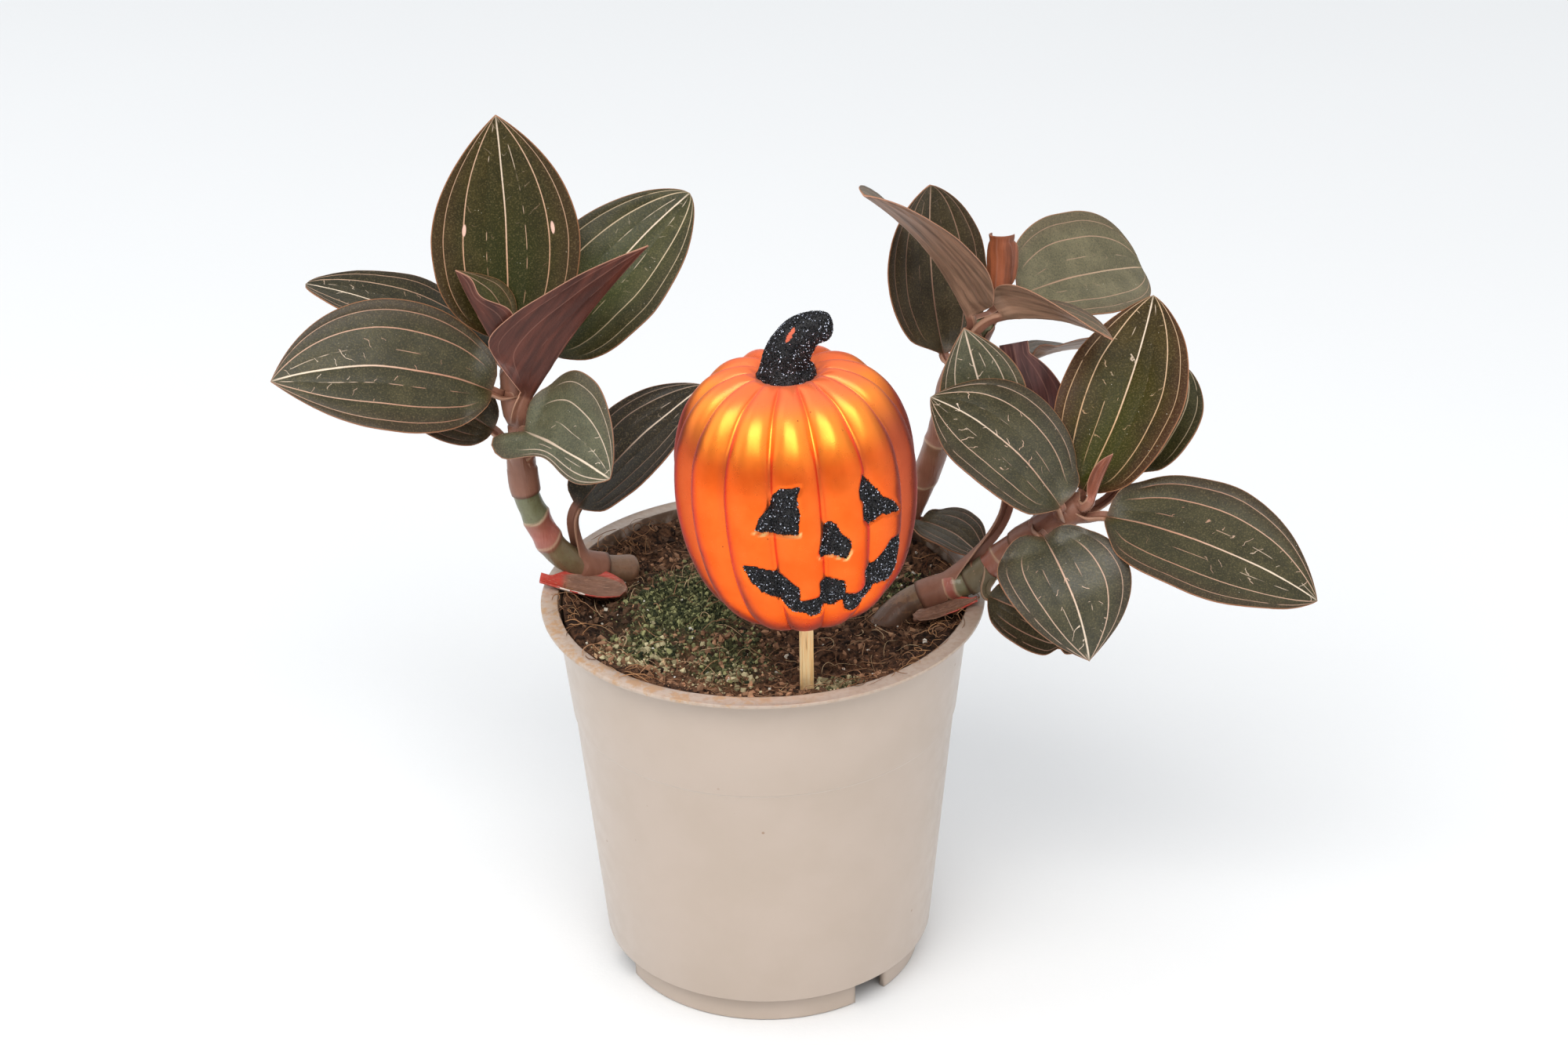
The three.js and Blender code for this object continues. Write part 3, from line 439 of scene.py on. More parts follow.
LEAVES = {
    "leaf_left_tall": row(
        "left", 0.99, (-66, 15, 180.5), (-67, 28, 238.3), (0.05, -0.9, 0.42), 41, -3, (16, 8), side=0.9,
        widest=(0.42, 0.44), round=0.9, look="olive", scars=((-0.57, 0.5), (0.64, 0.5))),
    "leaf_left_back": row(
        "left", 0.95, (-56.5, 25, 172.5), (-17.5, 46, 208.3), (-0.1, -0.75, 0.6), 38, 3, (12, 8), side=-0.8,
        halves=(0.9, 1), widest=(0.42, 0.46), power=1.45, round=0.66, look="green"),
    "leaf_left_folded": row(
        "left", 0.8, (-60.5, 3, 169.5), (-28, 10, 208.5), (-0.6, 0.2, 0.75), 36, 1, (60, 50, 76, 62),
        lobe=(0.1, 0.2), halves=(0.78, 1), widest=(0.22, 0.16), power=1.4, stalk=3.6,
        nicks=((0, 0.02, 0.6, 0.11), (1, 0.02, 0.55, 0.1)), look="young"),
    "leaf_left_furled": row(
        "left", 0.98, (-67, 6, 182), (-78, 9, 203), (0.6, 0.4, 0.7), 24, -1, (64, 54, 60, 50),
        halves=(0.75, 1.1), nicks=((0, 0.66, 0.6, 0.22),), look="young"),
    "leaf_left_wide": row(
        "left", 0.9, (-70.5, 3, 171), (-126, -8, 180), (0.1, -0.72, 0.69), 36.5, 5, (4, 2), side=3.6,
        power=2.2, round=0.95),
    "leaf_left_far": row(
        "left", 0.93, (-70, 18, 173.5), (-120, 27, 192), (0.25, -0.1, 0.96), 32, 3, (6, 4), power=1.5,
        round=0.6, look="deep"),
    "leaf_left_under": row(
        "left", 0.68, (-71.5, 11, 156), (-99.5, 12, 174), (0.2, -0.75, 0.6), 22, 2, (6, 4), look="grey"),
    "leaf_left_curled": row(
        "left", 0.64, (-61.5, -1.5, 161), (-38.5, -27, 159.5), (0.15, -0.8, 0.58), 40, 3, (14, 18, -5, -25),
        dip=(0, -30), lobe=(0.15, 0.95), halves=(1, 0.62), widest=(0.4, 0.12), round=0.78,
        nicks=((1, 0.35, 0.6, 0.28),), look="cool"),
    "leaf_left_low": row(
        "left", 0.2, (-49, 14, 131), (-14.5, 25, 161), (-0.5, -0.55, 0.67), 27, 3, (6, 4), round=0.85,
        stalk=2.2, look="shade"),
    "leaf_back_tall": row(
        "back", 0.8, (50, 30, 167), (47, 42, 211), (0.5, -0.75, 0.35), 33, -3, (10, 8), power=2.2, round=0.7,
        look="grey"),
    "leaf_back_edge": row(
        "back", 0.95, (56, 17.5, 184), (28, 7, 222.5), (0.63, 0.39, 0.67), 35, 3, (14, 8), power=2.6,
        round=0.5, look="mauve"),
    "leaf_back_furled": row(
        "back", 0.99, (64, 24, 187.5), (64, 27, 202), (0.4, 0.9, 0), 14, 0, (0, 0), cup=110, power=6,
        blunt=5.5, look="copper"),
    "leaf_back_wide": row(
        "back", 0.92, (70.5, 30, 183.5), (106, 54, 180.5), (-0.15, -0.7, 0.69), 37, 3, (8, 6), side=-0.4,
        halves=(1, 0.8), widest=(0.45, 0.5), power=2.6, round=0.5, look="pale"),
    "leaf_back_front": row(
        "back", 0.84, (65.5, 12.5, 185.5), (92, -4, 185.5), (0, 0.3, 0.95), 24, 2, (12, 5, 56, 10),
        lobe=(0.1, 0.5), widest=(0.3, 0.3), look="mauve"),
    "leaf_back_right": row(
        "back", 0.75, (73.5, 24, 168), (99, 38, 160), (0, 0.45, 0.9), 28, 3, (6, 4), power=2.2, round=0.7,
        look="mauve"),
    "leaf_back_low": row(
        "back", 0.2, (44.5, 29, 116), (60, 16, 111.8), (0.3, -0.3, 0.9), 20, 2, (8, 6), round=0.7,
        look="grey"),
    "leaf_right_tall": row(
        "right", 1, (85.5, -5, 142.5), (106, 26, 184.5), (-0.25, -0.72, 0.65), 34.5, 3, (12, 8), side=2.7,
        round=0.85, look="backlit"),
    "leaf_right_inner": row(
        "right", 0.9, (78, -15, 143), (45, 0, 168), (0.35, -0.45, 0.82), 38, 4, (4, 2), side=1,
        widest=(0.54, 0.54), round=0.85, look="slate"),
    "leaf_right_long": row(
        "right", 0.94, (91, -15, 139.3), (144.5, -31, 121.8), (0.3, -0.5, 0.81), 38, 5, (5, 3), side=-0.2,
        power=2, round=0.85),
    "leaf_right_front": row(
        "right", 0.8, (74, -19, 135.5), (85, -35, 107.5), (0.1, -0.8, 0.6), 35.5, 8, (6, 2),
        halves=(0.94, 1), widest=(0.44, 0.28), power=1.75, look="slate"),
    "leaf_right_under": row(
        "right", 0.56, (60.5, -13, 115), (88, -19, 102.5), (0, -0.7, 0.7), 20, 2, (6, 4),
        nicks=((1, 0.72, 0.3, 0.05),), look="ground"),
    "leaf_right_far": row(
        "right", 0.88, (98, 4, 143), (115, 28, 163), (-0.2, -0.6, 0.75), 27, 3, (6, 4), round=0.8,
        look="green"),
    "leaf_right_behind": row(
        "right", 0.38, (65.5, 3, 142), (54.5, 13, 182), (0, -0.88, 0.45), 24, -1.5, (10, 6),
        widest=(0.55, 0.55), stalk=2, look="cool"),
    "leaf_right_purple": row(
        "right", 0.8, (74, 12, 144.5), (68, 18, 175), (0, 0.9, 0.3), 23, -2, (20, 10), blunt=4,
        look="purple"),
    "leaf_right_bud": row(
        "right", 0.975, (86.5, -14.7, 144.2), (92, -12, 156.5), (0, 0.8, 0.4), 7, 0, (60, 50), look="bud"),
}
SHEATHS = {  # `red` is the share of the length from which the skin is red
    "old_sheath_left": row(
        "left", 0, (-37, 6.5, 107.4), (-60.5, 5.5, 112.6), (0, -0.1, 0.99), 14.5, -1.0, (4, 8), cup=42,
        widest=(0.4, 0.4), blunt=2.6, red=0.66),
    "old_sheath_right": row(
        "right", 0, (40.5, -9.5, 106.6), (57.5, -10, 112.6), (0, -0.1, 0.99), 9, -0.6, (8, 12), cup=30,
        blunt=1.2, red=1.1),
}
VEINS = (0.27, 0.58, 0.84)  # sideways places of the long veins, as shares of the half width
BLADE = {"thick": 0.5, "edge": 0.22, "widest": (0.46, 0.46), "power": 1.95, "tip": 0.1, "keel": 0.95,
         "keel_tip": 0.1, "keel_half": 2.2, "lobe": (0.12, 0.12), "cup": 8, "rings": 46, "sheath_rings": 30,
         "crowd": (1.15, 1.25)}
# how uneven a blade is: depth of the quilting in mm and the half width from which it is full, the
# half width at which the swellings reach 1 mm, depth of the fine grain in mm, and how far the margin
# and the long veins sway, as shares of the half width
UNEVEN = {"quilt": 0.14, "quilt_half": 11, "swell_half": 22, "grain": 0.05, "margin": 0.016, "veins": 0.03}
STALK = {"rings": 16, "root": 2.8, "root_fold": 60, "half": 1.6, "handle": 0.38, "turned": 0.4, "depth": 1.1,
         "channel": 35}
# the sheath of a leaf: how far it wraps each way round the stem in degrees, at its foot, at the stalk
# and where it ends, its length below the stalk and its rise above it, the share of the stalk over
# which it lets go of the stem, and the share of the stem within which the next sheath lies over it
CLASP = {"wrap": (160, 145, 60), "length": 7.0, "rise": 5.0, "leave": 0.5, "near": 0.12, "rings": 6,
         "thick": 0.35, "layer": 0.16}
SHEATH_SEED = 40  # seed of the first old sheath, after those of the leaves
STEM_STEPS = 400  # steps of a stem's line, on which its leaves find their place
STEM_RINGS, STEM_SIDES = 180, 32
# a stem's skin in mm: swelling where a sheath ends, thickness of the sheath, lumps and grain, then
# the widths of the swelling and of its pale line as fractions of the length
STEM_SKIN = {"swell": 0.3, "sheath": 0.22, "lumps": 0.16, "grain": 0.04, "spread": 0.02, "line": 0.004}
TIP_END = 0.75  # width of a stem's last ring, as a share
ROOT_END = (0.4, 0.68, 0.84, 0.93, 0.98)  # rounding of the end on the soil
GAP = 0.3  # clearance between two CAD pieces


# ---------------------------------------------------------------- plant: shapes
def vein_samples():
    """Sideways samples of a blade, close together at the veins."""
    edges = np.array((0, *VEINS, 1))
    steps = np.array((0, 0.07, 0.2, 0.5, 0.8, 0.93))
    right = np.concatenate([a + (b - a) * steps for a, b in zip(edges, edges[1:])] + [[1.0]])
    return np.concatenate((-right[:0:-1], right))


SAMPLES = vein_samples()
BETWEEN = np.interp(np.abs(SAMPLES), (0, *VEINS, 1), range(len(VEINS) + 2)) % 1
QUILT = np.abs(np.sin(np.pi * BETWEEN)) ** 0.8


def with_values(points, t, half, far, seed):
    """A ring with its points' values: place on the leaf and side, then sizes in mm and the leaf's seed."""
    halves = np.broadcast_to(half, SAMPLES.shape)
    under = np.repeat((0.0, 1.0), len(SAMPLES))
    place = flat_points(np.r_[SAMPLES, SAMPLES[::-1]], t, under)
    return points, place, flat_points(np.r_[halves, halves[::-1]], far, seed)


def leaf_length(leaf):
    return float(np.linalg.norm(np.subtract(leaf["tip"], leaf["base"])))


def half_widths(leaf, t):
    least = mix(leaf.get("stalk", STALK["half"]), leaf.get("blunt", BLADE["tip"]), float(smooth(t)))
    power = leaf.get("power", BLADE["power"])
    widths = []
    for half, widest in enumerate(leaf.get("widest", BLADE["widest"])):
        full = leaf["width"] / 2 * leaf.get("halves", (1, 1))[half]
        if t < widest:
            share = math.sqrt(1 - (1 - t / widest) ** 2)
        else:
            share = (1 - ((t - widest) / (1 - widest)) ** power) ** leaf.get("round", 1)
        for side, place, depth, span in leaf.get("nicks", ()):
            if side == half:
                share *= 1 - depth * math.exp(-(((t - place) / span) ** 2))
        widths.append(max(full * share, least))
    return widths


def blade_frame(leaf, t):
    base, tip, face = (np.array(leaf[key], float) for key in ("base", "tip", "face"))
    chord = tip - base
    along = unit(chord)
    up = unit(face - face.dot(along) * along)
    bend = up * leaf["bow"] + np.cross(along, up) * leaf.get("side", 0)
    centre = base + chord * t + bend * (4 * t * (1 - t))
    tangent = unit(chord + bend * (4 - 8 * t))
    return centre, tangent, unit(face - face.dot(tangent) * tangent)


def ring(place, widths, folds, cup, keel, sweeps=(0, 0), relief=0.0, shift=0.0, thin_edge=True):
    """Upper points from left to right, then lower points from right to left."""
    centre, tangent, normal = place
    across = np.cross(tangent, normal)
    s = SAMPLES + shift
    half, fold, sweep = (np.where(s > 0, pair[1], pair[0]) for pair in (widths, folds, sweeps))
    sign, reach = np.sign(s), np.abs(s)
    middle, tilt = fold + cup * reach / 2, np.where(reach < 1e-6, 0, fold + cup * reach)
    away, rise = half * reach * np.cos(middle), half * reach * np.sin(middle)
    thick = mix(BLADE["edge"], BLADE["thick"], (1 - reach ** 4) ** 0.5 if thin_edge else 1)
    inward = np.clip(np.sin(tilt) * thick / 2, -0.7 * np.abs(away), 0.7 * np.abs(away))
    skin = across * (-sign * inward)[:, None] + normal * (np.cos(tilt) * thick / 2)[:, None]
    lift = across * (-sign * np.sin(tilt) * relief)[:, None] + normal * (np.cos(tilt) * relief)[:, None]
    points = centre + across * (sign * away)[:, None] + normal * rise[:, None] + lift
    points = points - tangent * (sweep * half * reach ** 1.5)[:, None]
    below = keel * np.sqrt(np.maximum(0, 1 - (s * half / BLADE["keel_half"]) ** 2))
    lower = points - skin - normal * below[:, None]
    return np.vstack((points + skin, lower[::-1]))


def blade_rings(leaf, ts, seed):
    rings = []
    length = leaf_length(leaf)
    cup = math.radians(leaf.get("cup", BLADE["cup"]))
    for t in ts:
        opened = float(smooth(t / 0.12))
        dips = (dip * 4 * t * (1 - t) for dip in leaf.get("dip", (0, 0)))
        folds = [
            math.radians(mix(STALK["channel"], mix(*leaf[side], t) + dip, opened))
            for side, dip in zip(("left", "right"), dips)
        ]
        keel = mix(BLADE["keel"], BLADE["keel_tip"], float(smooth(t * 1.6)))
        sweeps = [lobe * (1 - t) ** 2 for lobe in leaf.get("lobe", BLADE["lobe"])]
        here = flat_points(SAMPLES * 1.6, t * 4.5, seed * 3.7)
        calm = float(smooth(t / 0.15) * smooth((1 - t) / 0.12))
        widths = [
            width * (1 + UNEVEN["margin"] * calm * float(lattice_noise([t * 9, side * 7, seed], 1.3, 5)))
            for side, width in enumerate(half_widths(leaf, t))
        ]
        half = np.where(SAMPLES > 0, widths[1], widths[0])
        relief = UNEVEN["quilt"] * calm * np.minimum(1, half / UNEVEN["quilt_half"]) * QUILT
        swell = calm * lattice_noise(here, 1, 1) * (0.25 + 0.75 * np.abs(SAMPLES))
        relief = relief + swell * half / UNEVEN["swell_half"]
        spots = flat_points(SAMPLES * half, t * length, seed)
        relief = relief + UNEVEN["grain"] * lattice_noise(spots, 1.1, 2)
        shift = UNEVEN["veins"] * calm * (1 - SAMPLES ** 2) * lattice_noise(here * (0.8, 1, 1), 1, 3)
        points = ring(blade_frame(leaf, t), widths, folds, cup, keel, sweeps, relief, shift)
        rings.append(with_values(points, t, half, t * length, seed))
    return rings


def clasp_ring(stem, line, out, at, wrap, clear):
    """A ring like those of `ring`, wrapped round the stem: its upper side lies on the stem."""
    spot = at * STEM_STEPS
    low = min(max(int(spot), 0), STEM_STEPS - 1)
    step = line[low + 1] - line[low]
    rise = unit(step)
    axis = line[low] + (spot - low) * step
    out = unit(out - out.dot(rise) * rise)
    turn = (SAMPLES * wrap)[:, None]
    away = out * np.cos(turn) + np.cross(rise, -out) * np.sin(turn)
    radius = mix(*stem["radii"], min(at, 1)) + GAP + clear
    thick = CLASP["thick"] * np.sqrt(1 - 0.8 * SAMPLES ** 2)[:, None]
    return np.vstack((axis + away * radius, (axis + away * (radius + thick))[::-1]))


def stalk_rings(leaf, seed, rank):
    """The leaf's sheath, which clasps the stem below it, and the stalk that leaves from it."""
    stem = STEMS[leaf["stem"]]
    line = spline(stem["route"], STEM_STEPS + 1)
    spot = round(leaf["at"] * STEM_STEPS)
    axis, rise = line[spot], unit(line[min(spot + 1, STEM_STEPS)] - line[max(spot - 1, 0)])
    base, tangent, normal = blade_frame(leaf, 0)
    out = base - axis
    out = unit(out - out.dot(rise) * rise)
    root = axis + out * (mix(*stem["radii"], leaf["at"]) - 0.2)
    direct = base - root
    reach = np.linalg.norm(direct) * STALK["handle"]
    direct = unit(direct)
    start = unit(2 * direct.dot(tangent) * direct - tangent + out * 0.6 + rise * 0.3)
    handles = (root, root + start * reach, base - tangent * reach, base)
    stem_length = np.linalg.norm(np.diff(line, axis=0), axis=1).sum()
    clear = CLASP["layer"] * rank
    wrap_foot, wrap_stalk, wrap_end = CLASP["wrap"]
    own = leaf.get("stalk", STALK["half"])
    rings = []
    for k in range(CLASP["rings"]):
        share = k / CLASP["rings"]
        below = CLASP["length"] * (1 - share)
        wrap = math.radians(mix(wrap_foot, wrap_stalk, share))
        at = leaf["at"] - below / stem_length
        points = clasp_ring(stem, line, out, at, wrap, clear * min(1, share * 3))
        rings.append(with_values(points, -2 + share, 6, -below - 10, seed))
    for u in np.linspace(0, 1, STALK["rings"], endpoint=False):
        v = 1 - u
        weights = (v ** 3, 3 * v * v * u, 3 * v * u * u, u ** 3)
        centre = sum(w * h for w, h in zip(weights, handles))
        steps = [after - before for before, after in zip(handles, handles[1:])]
        way = unit(v * v * steps[0] + 2 * v * u * steps[1] + u * u * steps[2])
        inward = unit(rise * way.dot(out) - out * way.dot(rise))
        up = mix(inward, normal, mix(STALK["turned"], 1, float(smooth(u))))
        up = unit(up - up.dot(way) * way)
        clasp = 1 - float(smooth(u * 1.6))
        half = mix(own, max(own, STALK["root"]), clasp)
        fold = math.radians(mix(STALK["channel"], STALK["root_fold"], clasp))
        keel = STALK["depth"] * (1 - 0.5 * clasp)
        points = ring((centre, way, up), (half, half), (fold, fold), 0, keel, thin_edge=False)
        leaving = float(smooth(u / CLASP["leave"]))
        if leaving < 1:
            wrap = math.radians(mix(wrap_stalk, wrap_end, u / CLASP["leave"]))
            above = leaf["at"] + u * CLASP["rise"] / stem_length
            points = mix(clasp_ring(stem, line, out, above, wrap, clear), points, leaving)
        rings.append(with_values(points, u - 1, half, -v * np.linalg.norm(base - root), seed))
    return rings


def add_leaf(name, rings, material, slot):
    rings, places, sizes = zip(*rings)
    points, count = np.vstack(rings), len(rings[0])
    low = np.arange(count // 2 - 1)
    first = np.stack((low, count - 1 - low, count - 2 - low, low + 1), axis=-1)
    last = first[:, ::-1] + (len(rings) - 1) * count
    faces = outward(points, [quads(len(rings), count, closed=True), first, last])
    values = {"leaf": np.vstack(places), "leaf_size": np.vstack(sizes)}
    add_piece(name, points, faces, material, values, replaces=(name,))


def build_stem(name, stem, material):
    skin = STEM_SKIN
    line = spline(stem["route"], STEM_RINGS)
    fraction = np.linspace(0, 1, STEM_RINGS)[:, None]
    turn = circle(STEM_SIDES)[None]
    at = fraction + (0.008 * np.cos(turn + 1.3) + 0.004 * np.cos(3 * turn))  # the edges lie aslant
    band = np.interp(at, *zip(*stem["bands"]))
    radii = mix(*stem["radii"], fraction) + 0 * turn
    edge = np.zeros_like(at)
    for place in stem["edges"]:
        edge = np.maximum(edge, np.exp(-(((at - place) / skin["line"]) ** 2)))
        radii = radii + skin["swell"] * np.exp(-(((at - place) / skin["spread"]) ** 2))
    radii = radii + skin["sheath"] * np.clip(band, 0, 1)
    spots = flat_points(np.cos(turn) * 3, np.sin(turn) * 3, fraction * 80)
    radii = radii + skin["lumps"] * rough_noise(spots, 5, 3, 9)
    radii = radii + skin["grain"] * lattice_noise(spots * (2.5, 2.5, 0.4), 1, 4)
    radii[-1] *= TIP_END
    radii[:5] *= np.array(ROOT_END)[:, None]
    points, faces = tube(line, radii, STEM_SIDES)
    values = {"band": np.r_[band.ravel(), band[0, 0], band[-1, 0]], "edge": np.r_[edge.ravel() * 0.8, 0, 0]}
    add_piece(name, points, faces, material, values, replaces=(name,))


def build_plant():
    stems = stem_look()
    for name, stem in STEMS.items():
        build_stem(name, stem, stems)
    looks = {}
    low, high = BLADE["crowd"]
    ts = 1 - (1 - np.linspace(0, 1, BLADE["rings"]) ** low) ** high
    for seed, (name, leaf) in enumerate(LEAVES.items()):
        others = [other["at"] for other in LEAVES.values() if other["stem"] == leaf["stem"]]
        rank = sum(leaf["at"] < at < leaf["at"] + CLASP["near"] for at in others)
        look = leaf.get("look", "dark"), leaf.get("scars", ())
        if look not in looks:
            looks[look] = leaf_look(*look, leaf_length(leaf))
        rings = stalk_rings(leaf, seed, rank) + blade_rings(leaf, ts, seed)
        add_leaf(name, rings, looks[look], slot="young_leaf" if look[0] in YOUNG_LOOKS else "leaf")
    for seed, (name, sheath) in enumerate(SHEATHS.items()):
        rings = blade_rings(sheath, np.linspace(0, 1, BLADE["sheath_rings"]), SHEATH_SEED + seed)
        add_leaf(name, rings, sheath_look("dry_" + name, sheath["red"]), slot="dry_sheath")


# ---------------------------------------------------------------- plant: materials
LEAF_LOOKS = {
    # upper side, its second shade, shade near the margin, veins, underside, how many dashes it has
    # and gloss
    "dark": ((43, 40, 17), (61, 56, 30), (54, 40, 22), (192, 140, 114), (84, 54, 42), 0.6, 0.31),
    "slate": ((48, 46, 28), (68, 64, 42), (56, 46, 31), (204, 164, 140), (84, 56, 46), 0.85, 0.44),
    # deep: a darker copy of the leaf colours, painted shade on the far leaf that faces up
    "deep": ((36, 34, 19), (51, 47, 30), (46, 37, 22), (184, 140, 112), (80, 52, 42), 0.6, 0.2),
    "olive": ((42, 37, 9), (62, 53, 20), (60, 42, 19), (212, 162, 128), (88, 56, 44), 0.15, 0.22),
    "green": ((43, 43, 14), (67, 65, 33), (50, 44, 18), (202, 178, 142), (84, 56, 44), 0.2, 0.26),
    # shade: the leaf colours darkened, veins too, as painted shade on the low leaf
    "shade": ((31, 26, 14), (40, 32, 19), (36, 26, 15), (112, 80, 62), (62, 42, 34), 0.2, 0.3),
    "grey": ((50, 42, 25), (70, 60, 39), (60, 46, 30), (152, 114, 94), (104, 80, 68), 0.2, 0.34),
    "mauve": ((76, 64, 44), (92, 77, 56), (76, 58, 42), (142, 106, 84), (138, 108, 88), 0.2, 0.34),
    "pale": ((84, 79, 56), (106, 99, 73), (90, 78, 56), (166, 132, 108), (112, 72, 60), 0.2, 0.4),
    "backlit": ((45, 34, 9), (60, 47, 12), (68, 39, 19), (212, 170, 128), (96, 60, 44), 0.6, 0.15),
    # cool: a lighter, greyer copy of the leaf colours, painted sheen on the leaves that use it
    "cool": ((68, 68, 48), (86, 86, 64), (72, 63, 45), (200, 176, 154), (80, 58, 48), 0.8, 0.4),
    "young": ((52, 50, 20), (72, 70, 32), (72, 56, 30), (150, 108, 78), (74, 38, 29), 0.0, 0.34),
    "copper": ((120, 66, 38), (134, 76, 44), (120, 62, 40), (150, 92, 66), (132, 72, 46), 0.0, 0.36),
    "ground": ((56, 50, 32), (74, 66, 46), (54, 40, 22), (192, 140, 114), (84, 54, 42), 0.6, 0.31),
    "purple": ((60, 36, 34), (74, 46, 42), (66, 38, 36), (96, 62, 56), (74, 44, 41), 0.0, 0.36),
    "bud": ((122, 72, 54), (132, 80, 60), (112, 64, 46), (144, 96, 74), (128, 74, 56), 0.0, 0.36),
}
YOUNG_LOOKS = ("young", "copper", "purple", "bud")
# colour of the light that shows through the lower middle of a leaf
GLOWS = {"olive": (44, 46, 8), "green": (60, 66, 24), "backlit": (52, 52, 1)}
STALK_SHADES = {"usual": ((122, 80, 64), (146, 102, 82)), "ground": ((92, 84, 62), (120, 108, 86))}
TIP_VEINS = {
    "usual": (230, 209, 186), "pale": (180, 153, 126), "mauve": (152, 118, 96), "grey": (180, 150, 128),
}
LONG_VEINS = (
    # place, half width in mm, strength, noise at which it fades in, where it fades in along the leaf
    (0, 0.26, 0.92, -1.0, 0.0), (VEINS[0], 0.12, 0.6, 0.5, 0.1), (VEINS[1], 0.17, 0.8, 0.1, 0.06),
    (VEINS[2], 0.13, 0.62, 0.28, 0.1),
)


def leaf_look(kind, scars, length):
    upper, second, rim, vein, below, dash_share, gloss = LEAF_LOOKS[kind]
    look = Look("leaf_" + kind + ("_scarred" if scars else ""), Specular_IOR_Level=gloss, Sheen_Weight=0.05,
                Sheen_Roughness=0.45, Sheen_Tint=(214, 190, 140))
    s, t, under = look.parts(look.attribute("leaf", "Vector"))
    half, along, seed = look.parts(look.attribute("leaf_size", "Vector"))
    under = look.span(under, 0.45, 0.55)
    reach, across = abs(s), s * half
    edge = (1.0 - reach) * half

    lines = veins = long_veins(look, reach, s, half, along, seed) * look.span(t, 0.93, 1.0, 1.0, 0.4)
    if dash_share:
        lines = veins | cross_veins(look, reach, across, along, t, seed, dash_share)
    dust, grain = look.noise(0.5, 3.0, 0.7), look.noise(0.42, 1.0, 0.5)
    colour = look.blend(look.span(look.noise(7.0, 4.0, 0.6), 0.35, 0.68), upper, second)
    colour = look.blend(look.span(dust, 0.42, 0.75, 0.0, 0.5), colour, second)
    colour = look.blend(look.span(reach, 0.55, 1.0, 0.0, 0.85), colour, rim)
    if kind in GLOWS:
        cloud = (look.noise(9.0, 2.0) - 0.5) * 0.6
        low = look.span(t, 0.95, 0.25) * look.span(reach + cloud, 0.75, 0.1)
        colour = look.blend(low, colour, GLOWS[kind])
    colour = look.blend(look.span(grain, 0.5, 0.75, 0.0, 0.16), colour, (158, 138, 96))
    colour = look.blend(look.span(grain, 0.5, 0.25, 0.0, 0.35), colour, (20, 17, 8))
    specks = look.span(look.cells(1.3), 0.06, 0.09, 0.8, 0.0) * look.span(look.noise(6.0, 2.0), 0.6, 0.66)
    colour = look.blend(specks, colour, (220, 210, 190))
    # the veins are pale on the way to the tip and coppery near the base
    ripe = look.span(t, 0.25, 0.8) * look.span(reach, 0.1, 0.6, 1.0, 0.3)
    line_colour = look.blend(ripe, vein, TIP_VEINS.get(kind, TIP_VEINS["usual"]))
    colour = look.blend(lines * look.span(t, 0.02, 0.4, 0.6, 1.0), colour, line_colour)
    if scars:
        colour = look.blend(scar_mask(look, s, half, along, scars, length), colour, (228, 186, 168))
    colour = look.blend(look.span(edge, 0.08, 0.32, 0.75, 0.0), colour, (160, 108, 74))
    # the underside is dull and streaked along the leaf
    streaks = look.noise(1.0, 3.0, 0.55, place=look.join(across * 0.5, along * 0.05, seed))
    back = look.blend(look.span(streaks, 0.3, 0.7), scaled(below, 0.62), scaled(below, 1.5))
    back = look.blend(veins * 0.25, back, (168, 120, 104))
    back = look.blend(look.span(edge, 0.1, 0.35, 0.7, 0.0), back, (190, 140, 116))
    colour = look.blend(under, colour, back)
    shades = STALK_SHADES.get(kind, STALK_SHADES["usual"])
    stalk = look.blend(look.noise(1.4, 3.0, stretch=(1, 1, 0.3)), *shades)
    stalk = look.blend(look.span(edge, 0.05, 0.25, 0.45, 0.0), stalk, (190, 150, 124))
    stalk = look.blend(look.span(t, -2.0, -1.8, 0.6, 0.0), stalk, (92, 66, 50))
    shine = look.span(dust, 0.3, 0.7, 0.38, 0.5)
    look.set(Base_Color=look.blend(look.span(t, -0.1, 0.05, 1.0, 0.0), colour, stalk),
             Roughness=look.blend(under, look.join(shine, shine, shine), (0.4, 0.4, 0.4, 1)))
    look.bump(grain * 0.5 + lines * -0.35, 0.09)
    return look.material


def long_veins(look, reach, s, half, along, seed):
    """The veins that run from base to tip, each broken up by a noise of its own."""
    path = look.join(along * 0.2, look.math("ROUND", s / 0.28) * 5.3, seed * 3.1)
    breaks = look.noise(1.0, 1.0, place=path)
    wavering = (look.noise(0.22, 1.0, place=path) - 0.5) * 0.25
    veins = []
    for place, thick, strength, fade, start in LONG_VEINS:
        away = abs(reach - place) * half + wavering * (thick * 2)
        line = look.span(away, thick * 0.45, thick * 1.35, strength, 0.0)
        line = line * look.span(breaks, fade, fade + 0.1)
        if start:
            line = line * look.span(along, start * 50, start * 50 + 4)
        veins.append(line)
    return reduce(or_, veins)


def cross_veins(look, reach, across, along, t, seed, share):
    """Short slanting dashes between the long veins, most of them towards the tip."""
    place = look.join(across, along, seed * 7.7)
    rows = (along + abs(across) * -0.75 + look.noise(3.0, 2.0, place=place) * 4.2) / 4.0
    line = look.span(abs(look.math("FRACT", rows) - 0.5), 0.018, 0.042, 1.0, 0.0)
    here = look.noise(2.7, 0.0, place=place) + look.span(t, 0.3, 0.95, -0.07, 0.03)
    line = line * look.span(here, 0.6, 0.65, 0.0, share)
    return line * look.span(reach, 0.52, 0.6, 1.0, 0.0) * look.span(t, 0.15, 0.3)


def scar_mask(look, s, half, along, scars, length):
    """Small pale healed wounds at (share of the half width, share of the length)."""
    spots = []
    for place, at in scars:
        away = look.join((s - place) * half / 0.55, (along - at * length) / 1.7, 0.0)
        spots.append(look.span(look.vector("LENGTH", away, output="Value"), 0.75, 1.1, 1.0, 0.0))
    return reduce(or_, spots)


